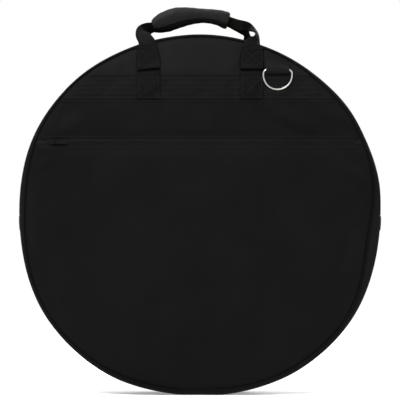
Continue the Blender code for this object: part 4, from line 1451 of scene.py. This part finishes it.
@dataclass
class Webbing:
    """The band across the front, the patches over it and the sewn ends of the handle straps."""

    looks: Finishes
    front: Face
    back: Face
    band_low: float = 0.1930
    band_top: float = 0.2310
    band_proud: float = 0.0021
    patch_top: float = 0.2400
    anchor_low: float = 0.2430
    anchor_top: float = 0.2790
    half: float = 0.0186
    patch_half: float = 0.0190
    anchor_middle: float = 0.26325
    anchor_half: float = 0.0150
    root_depth: float = 0.0413
    loose: float = 0.0022
    anchor_stitches: Pair = (0.2500, 0.2765)
    back_stitches: Pair = (0.1975, 0.2290)
    stitch_half: float = 0.0165
    stitch_radius: float = 0.285
    left_slant: float = 0.0024
    rows: tuple[float, ...] = (0.1962, 0.2042, 0.2122, 0.2202, 0.2278)
    beside_rows: tuple[float, ...] = (-0.0026, -0.0012, 0.0, 0.0012, 0.0026)
    cross_seams: Pair = (-0.0195, 0.0600)
    stitch_gaps: Pair = (0.065, 0.105)
    patch_step: Point = (0.2355, 0.0045, -0.0028)
    drawn_from: float = 0.2580
    drawn_share: float = 0.13
    drawn_aside: float = 0.0022
    # The under ply behind each slit, in painted shade: its bottom, its top and how far it stands off.
    ply_low: float = 0.2392
    ply_top: float = 0.2445
    ply_proud: float = 0.0009

    def band_surface(self) -> Depths:
        """The band's surface, drawn in along its rows of stitches."""
        grooves = [(row, 0.0010, -0.0005) for row in self.rows]
        return shaped(self.front.over(self.band_proud, EDGE_PROUD), ridges=grooves)

    def build_band(self) -> Piece:
        """The band."""
        lines = [row + shift for row in self.rows for shift in self.beside_rows]
        flat = flat_disc(lambda b: self.front.panel_radius(b) - 0.0004, self.band_low, self.band_top, lines)
        surface = self.band_surface()
        return sew_on("band_webbing", ["webbing_band"], flat, surface, self.front, self.looks.band)

    def patch_surface(self, middle: float) -> Depths:
        """The surface of the patch at a place across the bag, pillowed between its stitches."""
        over = shaped(self.front.over(self.band_proud + 0.0015), [self.patch_step])

        def depth(x: Array, height: Array) -> Array:
            """The depth at each place."""
            across = (x - middle) / self.half
            up = (height - self.band_low - self.patch_half) / self.patch_half
            cross, box = pressed(across, up, 0.10, 0.07)
            return over(x, height) - 0.0005 * np.maximum(cross * (np.abs(up) < 0.9), box) * (up < 1.05)

        return depth

    def anchor_surface(self, middle: float, face: Face) -> Depths:
        """The surface of a doubled strap end, pillowed by its stitches and on the front loose at its foot."""
        over = face.over(0.0028)
        loose = self.loose if face is self.front else 0.0

        def depth(x: Array, height: Array) -> Array:
            """The depth at each place."""
            across, up = (x - middle) / self.half, (height - self.anchor_middle) / self.anchor_half
            sewn = np.maximum(*pressed(across, up, 0.12, 0.09)) * (np.abs(up) < 1.05) * (up < 0.8)
            root = self.root_depth * smooth_step((height - 0.2690) / 0.007)
            edge = loose * smooth_step((0.2500 - height) / 0.006)
            return np.maximum(over(x, height), root) - 0.0004 * sewn + edge

        return depth

    def build_patch(self, name: str, middle: float) -> Piece:
        """A patch sewn over the band, which runs up smooth to the slit."""
        flat = flat_rectangle(middle, self.half, self.band_low + 0.0004, self.patch_top, 0.0012)
        under = shaped(self.front.over(self.band_proud + 0.0003), [(self.band_top + 0.0008, 0.003, -0.0012)])
        nodes, surface, look = [f"strap_patch_{name}"], self.patch_surface(middle), self.looks.strap
        return sew_on(f"patch_{name}_webbing", nodes, flat, surface, self.front, look, inner=under)

    def drawn_in(self, middle: float, spot: Pair) -> Pair:
        """Where a place on a front strap end lies with its top drawn in and pulled out towards its loop."""
        share = float(smooth_step((spot[1] - self.drawn_from) / (self.anchor_top - self.drawn_from)))
        aside = (spot[0] - middle) * (1 - self.drawn_share * share)
        return middle + aside + math.copysign(self.drawn_aside, middle) * share, spot[1]

    def build_anchor(self, name: str, middle: float, slant: float) -> Piece:
        """A doubled strap end on the front, its slanted lower edge standing off the slit."""
        flat = flat_rectangle(middle, self.half, self.anchor_low, self.anchor_top, 0.0012)
        for vertex in flat.verts:
            low = float(smooth_step((self.anchor_low + 0.008 - vertex.co.z) / 0.008))
            vertex.co.z += low * slant * (vertex.co.x - middle) / self.half
            vertex.co.x, _ = self.drawn_in(middle, (vertex.co.x, vertex.co.z))
        nodes, surface = [f"front_anchor_{name}"], self.anchor_surface(middle, self.front)
        look = self.looks.strap
        return sew_on(f"anchor_{name}_webbing", nodes, flat, surface, self.front, look, roll=STRAP_ROLL)

    def build_shaded_ply(self, name: str, middle: float) -> Piece:
        """The under ply of a doubled strap end, which runs down behind the slit and under the patch, finished
        in painted shade so that the slit reads as a dark shadow.
        """
        flat = flat_rectangle(middle, self.half - 0.0006, self.ply_low, self.ply_top, 0.0024)
        surface, look = self.front.over(self.ply_proud), self.looks.shade
        return sew_on(f"ply_{name}_webbing", [], flat, surface, self.front, look)

    def build_back_anchor(self, name: str, middle: float) -> Piece:
        """The sewn end of the back handle's strap."""
        node = f"back_anchor_{name}"
        low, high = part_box(node)
        flat = flat_rectangle(middle, self.half, low.z - CENTRE, high.z - CENTRE, 0.0014)
        surface, look = self.anchor_surface(middle, self.back), self.looks.strap
        return sew_on(f"{node}_webbing", [node], flat, surface, self.back, look, roll=STRAP_ROLL)

    def build_stitching(self) -> list[Piece]:
        """The rows on the band and the boxed crosses on the straps."""
        lines = []
        for row in self.rows:
            half = math.sqrt(self.stitch_radius**2 - row**2)
            near, far = self.stitch_gaps
            spans = ((-half, -far), (-near, near), (far, half))
            lines += [[(start, row), (end, row)] for start, end in spans]
        lines += [[(seam, self.band_low + 0.002), (seam, self.band_top - 0.002)] for seam in self.cross_seams]
        band = self.band_surface()
        band_paths = [on_surface(band, FRONT, line, sink=0.0001) for line in lines]
        front_paths, back_paths = [], []
        for middle in (-STRAP_X, STRAP_X):
            patch = self.patch_surface(middle)
            front, back = (self.anchor_surface(middle, face) for face in (self.front, self.back))
            for paths, surface, side, low, high in (
                (front_paths, patch, FRONT, self.band_low + 0.0022, self.band_top - 0.0022),
                (front_paths, front, FRONT, *self.anchor_stitches),
                (back_paths, back, BACK, *self.anchor_stitches),
                (back_paths, back, BACK, *self.back_stitches),
            ):
                for line in boxed_cross(middle - self.stitch_half, middle + self.stitch_half, low, high):
                    spots = [self.drawn_in(middle, spot) for spot in line] if side == FRONT else line
                    paths.append(on_surface(surface, side, spots, step=0.0016))
        thread = Thread(self.looks.thread)
        return [
            dress(thread.sew(name, paths, lambda _, side=side: OUT[side]), [], body, "webbing")
            for name, paths, side, body in (
                ("band_stitches", band_paths, FRONT, "lid"),
                ("strap_stitches", front_paths, FRONT, "lid"),
                ("back_strap_stitches", back_paths, BACK, "shell"),
            )
        ]

    def build(self) -> list[Piece]:
        """Make the webbing."""
        made = [self.build_band()]
        for name, way, slant in (("left", -1, self.left_slant), ("right", 1, 0.0)):
            middle = way * STRAP_X
            made += [
                self.build_patch(name, middle),
                self.build_anchor(name, middle, slant),
                self.build_shaded_ply(name, middle),
                self.build_back_anchor(name, middle),
            ]
        return made + self.build_stitching()


LoopRow = tuple[float, float, float, float, float]
Station = tuple[Vector, Vector, Vector, float]


@dataclass
class Handles:
    """The two handle loops and the grip sewn round the front one.

    A loop's rows give shares: across, up, of the strap's width, of the lean towards the other loop, and of a
    turn edge-on.
    """

    looks: Finishes
    rise: float = 0.0534
    start: float = 0.2793
    strap_depth: float = 0.0398
    front_lean: float = 0.0288
    back_lean: float = 0.0372
    strap_width: float = 0.0380
    thickness: float = 0.0030
    grip_depth: float = 0.0210
    grip_height: float = 0.0330
    grip_sides: int = 40
    seam_side: int = 22
    spans: int = 7
    # Where the front loop gets the coarse strip and painted shade: rows and a place across inside the left
    # fold, and a span across on the right leg. The back loop is painted shade all over.
    inside: tuple[int, int] = (29, 44)
    shade_left: float = -0.078
    coarse: Pair = (0.040, 0.072)
    shade_right: float = 0.0835
    grip_shares: tuple[LoopRow, ...] = tuple(
        (across, up, 0.42, 1.00, 0.00)
        for across, up in (
            (-0.92, 0.66), (-0.70, 0.80), (-0.45, 0.93), (-0.20, 0.99), (0.06, 1.00), (0.34, 0.95),
            (0.56, 0.83),
        )
    )  # fmt: skip
    front_left: tuple[LoopRow, ...] = (
        (-1.03, 0.00, 0.86, 0.00, 0.00), (-1.03, 0.10, 0.76, 0.00, 0.00), (-1.07, 0.23, 0.66, 0.10, 0.00),
        (-1.13, 0.38, 0.57, 0.40, 0.00), (-1.13, 0.53, 0.50, 0.70, 0.00), (-1.04, 0.62, 0.45, 0.92, 0.00),
    )  # fmt: skip
    front_right: tuple[LoopRow, ...] = (
        (0.74, 0.72, 0.46, 0.96, 0.00), (0.94, 0.64, 0.44, 0.76, 0.25), (1.09, 0.48, 0.32, 0.50, 0.80),
        (1.10, 0.30, 0.42, 0.22, 0.60), (1.04, 0.13, 0.70, 0.02, 0.04), (1.02, 0.00, 0.92, 0.00, 0.00),
    )  # fmt: skip
    back_left: tuple[LoopRow, ...] = (
        (-1.03, 0.00, 0.86, 0.00, 0.00), (-1.03, 0.13, 0.76, 0.00, 0.00), (-1.06, 0.26, 0.64, 0.08, 0.00),
        (-1.11, 0.40, 0.52, 0.42, 0.00), (-1.08, 0.54, 0.50, 0.72, 0.00), (-1.00, 0.62, 0.46, 0.94, 0.00),
    )  # fmt: skip
    back_right: tuple[LoopRow, ...] = (
        (0.73, 0.71, 0.46, 0.96, 0.00), (0.85, 0.61, 0.46, 0.76, 0.10), (0.93, 0.46, 0.40, 0.42, 0.50),
        (0.96, 0.30, 0.46, 0.07, 0.14), (0.99, 0.15, 0.74, 0.00, 0.00), (1.00, 0.00, 1.00, 0.00, 0.00),
    )  # fmt: skip
    swells: tuple[float, ...] = (0.36, 0.52, 0.53, 0.44, 0.36, 0.39, 0.46)

    def smoothed(self, rows: Array) -> Array:
        """Rows with more of them between, along a Catmull-Rom curve through the given ones."""
        made = []
        last = len(rows) - 1
        for index in range(last):
            p0, p1 = rows[max(index - 1, 0)], rows[index]
            p2, p3 = rows[index + 1], rows[min(index + 2, last)]
            bend = 2 * p0 - 5 * p1 + 4 * p2 - p3
            twist = 3 * p1 - 3 * p2 + p3 - p0
            for t in (step / self.spans for step in range(self.spans)):
                made.append((2 * p1 + (p2 - p0) * t + bend * t**2 + twist * t**3) / 2)
        return np.array([*made, rows[-1]])

    def stations(self, rows: Sequence[LoopRow], side: int) -> list[Station]:
        """The places along a loop.

        Args:
            rows: The loop's shares.
            side: FRONT or BACK.

        Returns:
            The middle, the way across the strap, the way out of it and the strap's width at each place.
        """
        lean = self.front_lean if side == FRONT else self.back_lean
        rows = self.smoothed(np.array(rows))
        foot = CENTRE + self.start
        middles = [
            Vector((x * STRAP_X, side * (self.strap_depth - bend * lean), foot + up * self.rise))
            for x, up, _, bend, _ in rows
        ]
        last = len(rows) - 1
        made = []
        for index, (row, middle) in enumerate(zip(rows, middles)):
            along = middles[min(index + 1, last)] - middles[max(index - 1, 0)]
            level = Vector((along.x, 0, along.z)).normalized()
            if index in (0, last):
                along = level = Vector((0, 0, 1 if index == 0 else -1))
            turn = float(row[4]) * math.pi / 2
            across = Vector((-level.z, 0, level.x)) * math.cos(turn) + Vector((0, math.sin(turn), 0))
            made.append((middle, across, along.cross(across).normalized(), float(row[2]) * self.strap_width))
        return made

    def strap_ring(self, middle: Vector, across: Vector, out: Vector, width: float) -> list[Vector]:
        """The section of a strap folded double: two soft layers with a crease between their edges."""
        half, thick = width / 2, self.thickness / 2
        quarter = [(half, 0.55), (half - 0.0008, 1.0), (half * 0.5, 1.04), (0.0, 1.06)]
        over = [(-a, b) for a, b in quarter] + quarter[2::-1]
        outline = over + [(half - 0.0006, 0.0)] + [(a, -b) for a, b in over[::-1]] + [(0.0006 - half, 0.0)]
        return [middle + across * a + out * b * thick for a, b in outline]

    def build_loop(self, body: str, rows: Sequence[LoopRow], side: int) -> Piece:
        """One handle loop, which rides on the body that it is named after."""
        stations = self.stations(rows, side)

        def pick(i: int, _: int) -> int:
            """The coarse strip between the grip and the right leg, and painted shade over the insides of both
            folds and the whole back loop.
            """
            x = stations[i][0].x
            left_fold_shade = x < self.shade_left and self.inside[0] < i < self.inside[1]
            if side == BACK or self.coarse[1] < x < self.shade_right or left_fold_shade:
                return 2
            return int(self.coarse[0] < x <= self.coarse[1])

        finishes = [self.looks.loop, self.looks.coarse, self.looks.shade]
        rings = [self.strap_ring(*station) for station in stations]
        loop = loft(f"{body}_loop_webbing", rings, finishes, pick, sharp=60)
        return dress(loop, [f"{body}_loop"], body, "webbing")

    @staticmethod
    def pucker(share: float, turn: float) -> float:
        """How far the sleeve's cloth puckers, by the share along it and the turn round it."""
        ends = bell(share, 0.22) + 0.7 * bell(1 - share, 0.2)
        slow = 0.012 * math.sin(5 * turn + 9 * share) * math.sin(23 * share + 2 * turn)
        return slow + 0.016 * ends * math.sin(9 * turn + 4 * share) + 0.010 * math.sin(61 * share + 3 * turn)

    def sleeve_ring(self, middle: Vector, across: Vector, swell: float, share: float) -> list[Vector]:
        """The sleeve's section, lapped along its front.

        Args:
            middle: The strap's middle.
            across: The way across the strap.
            swell: Half the sleeve's height as a share of the grip's.
            share: How far along the sleeve it is.

        Returns:
            The section's points.
        """
        tight = 1 - 0.15 * bell(share, 0.035) - 0.16 * bell(1 - share, 0.02)
        made = []
        for turn in (2 * math.pi * k / self.grip_sides for k in range(self.grip_sides)):
            depth = math.copysign(abs(math.cos(turn)) ** 0.8, math.cos(turn))
            height = math.copysign(abs(math.sin(turn)) ** 0.8, math.sin(turn))
            radial = tight * (1 + self.pucker(share, turn))
            lap = 0.0010 * (float(smooth_step((height + 0.28) / 0.05)) if depth < 0 else (height > -0.28))
            deep = float(depth * (self.grip_depth / 2 * radial - 0.0008) + math.copysign(lap, depth))
            spot = middle + Vector((0, deep, 0)) + across * float(height * swell * self.grip_height * radial)
            made.append(Vector((spot.x - 0.0012 * height * share**6, spot.y, spot.z)))
        return made

    def build_grip(self) -> list[Piece]:
        """The padded sleeve, pulled tight at its ends and lapped along its front, and the lap's stitches."""
        left = len(self.front_left) * self.spans
        count = (len(self.grip_shares) - 1) * self.spans + 1
        every = self.stations(self.front_left + self.grip_shares + self.front_right, FRONT)
        stations = every[left : left + count]
        swells = self.smoothed(np.array(self.swells))
        rings = [
            self.sleeve_ring(middle, across, float(swell), index / (count - 1))
            for index, ((middle, across, _, _), swell) in enumerate(zip(stations, swells))
        ]
        under = range(round(self.grip_sides * 0.54), round(self.grip_sides * 0.96))
        finishes = [self.looks.grip, self.looks.underside]
        grip = loft("grip_sleeve", rings, finishes, lambda _, j: int(j in under), sharp=70)
        dress(grip, ["handle_grip"], "front_handle", "grip_cloth")
        out = Vector((0, -1, -0.35))
        seam = [ring[self.seam_side] + out * 0.0002 for ring in rings[2:-2]]
        stitches = Thread(self.looks.thread).sew("grip_stitches", [seam], lambda _: out)
        return [grip, dress(stitches, [], "front_handle", "grip_cloth")]

    def build(self) -> list[Piece]:
        """Make both loops and the grip."""
        return [
            self.build_loop("front_handle", self.front_left + self.grip_shares + self.front_right, FRONT),
            self.build_loop("back_handle", self.back_left + self.grip_shares + self.back_right, BACK),
            *self.build_grip(),
        ]


@dataclass
class Rings:
    """The D-rings in their webbing tabs."""

    looks: Finishes
    x: float = 0.13095
    bar_height: float = 0.2408
    depth: float = 0.04225
    width: float = 0.0500
    wire: float = 0.0028
    corner: float = 0.0064
    side_drop: float = 0.0026
    aside: float = 0.0028
    tab_width: float = 0.0380
    tab_height: float = 0.0190
    tab_radius: float = 0.2885
    slack: float = 0.0014
    webbing: float = 0.0016

    def ring_path(self) -> list[Pair]:
        """The wire's middle line as (across, up) from the bar's middle."""
        half = self.width / 2 - self.wire / 2
        corner = self.corner
        bow = arc((0.0, -corner - self.side_drop), half, half, 2, 4, 41)
        right = arc((half - corner, -corner), corner, corner, 0, 1, 9)
        return bow + right + arc((corner - half, -corner), corner, corner, 1, 2, 9)

    def build_ring(self, name: str, side: int) -> Piece:
        """One ring of bent wire."""
        path = self.ring_path()
        x = -side * (self.x - self.aside)
        rings = []
        for index, (across, up) in enumerate(path):
            before, after = path[index - 1], path[(index + 1) % len(path)]
            along = Vector((after[0] - before[0], 0, after[1] - before[1])).normalized()
            out = Vector((along.z, 0, -along.x))
            middle = Vector((x + across, side * self.depth, CENTRE + self.bar_height + up))
            round_wire = arc((0.0, 0.0), 1.0, 1.0, 0, 4, 17)[:-1]
            rings.append([middle + (out * a + OUT[BACK] * b) * self.wire / 2 for a, b in round_wire])
        ring = loft(f"{name}_wire", rings, [self.looks.nickel], joined=True, sharp=80)
        return dress(ring, [name], name, "nickel")

    def tab_section(self, x: float, share: float) -> Array:
        """The tab's section at one place across it.

        Args:
            x: Where the section is.
            share: 0 at the tab's middle, 1 at its edges.

        Returns:
            The section's points as (depth, height above the centre), inside the seam.
        """
        reach = self.wire / 2 + 0.0008 + self.webbing / 2
        bar = self.bar_height
        tall = min(self.tab_height, math.sqrt(self.tab_radius**2 - x * x) - bar)
        near = self.depth - reach
        far = near + 0.0019 - 0.0012 * share**3
        path = [(near, bar + tall - tall * part) for part in np.linspace(0, 0.92, 6)]
        path += arc((self.depth, bar), reach, reach + self.slack, 2, 4, 15)
        for part in np.linspace(0.1, 1, 10):
            ease = float(smooth_step((part - 0.1) / 0.6))
            path.append((self.depth + reach + (far - self.depth - reach) * ease, bar + tall * part))
        line = np.array(path)
        along = np.gradient(line, axis=0)
        across = np.stack([along[:, 1], -along[:, 0]], axis=1) / np.linalg.norm(along, axis=1)[:, None]
        thick = self.webbing / 2 - 0.00005
        return np.concatenate([line + across * thick, (line - across * thick)[::-1]])

    def build_tab(self, name: str, side: int) -> Piece:
        """The webbing folded round a ring's bar and sewn above it."""
        rings = []
        for share in (-1.0, -0.92, -0.75, -0.5, 0.0, 0.5, 0.75, 0.92, 1.0):
            x = share * self.tab_width / 2 - side * (self.x - self.aside)
            rings.append([(x, side * depth, CENTRE + up) for depth, up in self.tab_section(x, abs(share))])
        tab = loft(f"{name}_webbing", rings, [self.looks.cloth], sharp=50)
        return dress(tab, [name], "lid" if side == FRONT else "shell", "webbing")

    def build(self) -> list[Piece]:
        """Make both rings and tabs."""
        sides = (("front_ring", FRONT), ("back_ring", BACK))
        rings = [self.build_ring(name, side) for name, side in sides]
        return rings + [self.build_tab(f"{name}_tab", side) for name, side in sides]


@dataclass
class Studio:
    """The pale floor, the soft light and the camera of the photograph."""

    distance: float = 3.0
    frame_width: float = 0.6628
    middle_height: float = 0.0257
    floor_reach: float = 7.0
    fade: Pair = (0.6, 4.0)
    surround: float = 0.46
    lamps: tuple[tuple[str, Point, float, float], ...] = (
        ("key_lamp", (-1.1, -1.8, 2.9), 1.1, 138),
        ("fill_lamp", (2.2, -1.8, 1.2), 1.8, 18),
        ("top_lamp", (0.2, 0.4, 2.6), 1.6, 30),
        ("back_lamp", (1.4, 2.4, 1.7), 1.6, 46),
    )

    def build_floor(self) -> None:
        """The floor, which fades into the white surroundings."""
        bench = Bench(bpy.data.materials.new("studio_floor"))
        x, y, _ = bench.axes(bench.place())
        far = (x * x + y * y).between(*self.fade)
        look = bench.finish(
            Base_Color=bench.mix(far, grey(0.95), grey(0.0)),
            Emission_Color=bench.mix(far, grey(0.30), grey(1.0)),
            Emission_Strength=1.0,
            Roughness=0.9,
            Specular_IOR_Level=0.1,
        )
        mesh = bpy.data.meshes.new("studio_floor")
        reach = self.floor_reach
        corners = [(-reach, -reach, 0), (reach, -reach, 0), (reach, reach, 0), (-reach, reach, 0)]
        mesh.from_pydata(corners, [], [range(4)])
        mesh.materials.append(look)
        floor = add_object("studio_floor", mesh)
        floor.location.z = -0.0004

    def build_world(self) -> None:
        """Plain light from all round, pure white where the camera, metal or glass sees it."""
        world = bpy.data.worlds.new("studio")
        bpy.context.scene.world = world
        bench = Bench(world, "Background")
        kinds = ("Camera", "Glossy", "Transmission")
        seen, glossy, through = (bench.node("ShaderNodeLightPath", output=f"Is {kind} Ray") for kind in kinds)
        white = seen.larger(glossy).larger(through)
        bench.finish(Color=grey(1), Strength=white * (1 - self.surround) + self.surround)

    def build_lamps(self) -> None:
        """The soft square lamps, which face the bag."""
        for name, place, size, power in self.lamps:
            data = bpy.data.lights.new(name, "AREA")
            data.size = size
            data.energy = power
            lamp = add_object(name, data)
            lamp.location = place
            lamp.rotation_euler = (Vector((0, 0, CENTRE)) - Vector(place)).to_track_quat("-Z", "Y").to_euler()

    def build_camera(self) -> None:
        """The camera straight in front of the bag."""
        data = bpy.data.cameras.new("camera")
        data.lens = data.sensor_width * self.distance / self.frame_width
        data.clip_end = 50
        camera = add_object("camera", data)
        camera.location = (0, -self.distance - 0.03, CENTRE + self.middle_height)
        camera.rotation_euler = (math.pi / 2, 0, 0)
        bpy.context.scene.camera = camera

    def build(self) -> None:
        """Set the studio up."""
        bpy.context.scene.view_settings.view_transform = "Standard"
        self.build_floor()
        self.build_world()
        self.build_lamps()
        self.build_camera()


# The size of a pixel of the photograph, the pixel at the body's middle, and the front's creases: both ends of
# each in pixels across and down, then its half width and its height in millimetres.
PIXEL = 0.001662
MIDDLE_PIXEL = (199.5, 214.5)
CREASES = (
    (86, 72, 108, 58, 9.0, 3.4), (104, 74, 124, 60, 9.0, 2.8), (224, 73, 240, 54, 9.0, 2.6),
    (30, 147, 62, 145, 9.0, 5.0), (32, 166, 58, 152, 9.5, 2.6), (310, 98, 328, 116, 9.5, 3.6),
    (322, 112, 350, 122, 10.0, 3.8), (262, 98, 288, 120, 11.0, 4.8), (278, 112, 316, 132, 12.0, 5.6),
    (86, 116, 60, 132, 12.0, 4.0), (350, 138, 373, 164, 9.5, 4.2), (336, 160, 372, 186, 10.0, 4.0),
    (28, 222, 48, 252, 9.5, 4.2), (52, 284, 74, 310, 9.0, 3.2), (362, 226, 346, 275, 9.0, 4.0),
    (300, 330, 335, 300, 12.0, 3.4),
)  # fmt: skip


def front_creases() -> tuple[Crease, ...]:
    """The front's creases in metres."""

    def spot(across: float, down: float) -> Pair:
        """A pixel's place on the bag, as (x, height)."""
        return (across - MIDDLE_PIXEL[0]) * PIXEL, (MIDDLE_PIXEL[1] - down) * PIXEL

    return tuple(Crease(spot(*row[:2]), spot(*row[2:4]), row[4] / 1000, row[5] / 1000) for row in CREASES)


def main() -> None:
    """Build every part of the bag and its studio."""
    logging.basicConfig(level=logging.INFO, format="%(message)s")
    Studio().build()
    looks = Finishes.make()
    front = Face(FRONT, Billow(), creases=front_creases(), sewn_lines=(0.195, 0.229))
    back = Face(BACK, Billow(cap=0.0035), crown=0.0040)
    for face in (front, back):
        face.billow.settle(face.held, seed=5 + face.side)
    for part in (
        Panels(looks, front, back),
        Gusset(looks),
        MainZip(looks),
        Pocket(looks, front),
        Webbing(looks, front, back),
        Handles(looks),
        Rings(looks),
    ):
        for piece in part.build():
            log.info("%s: %s, %d faces", type(part).__name__, piece.name, len(piece.data.polygons))


if __name__ == "__main__":
    main()
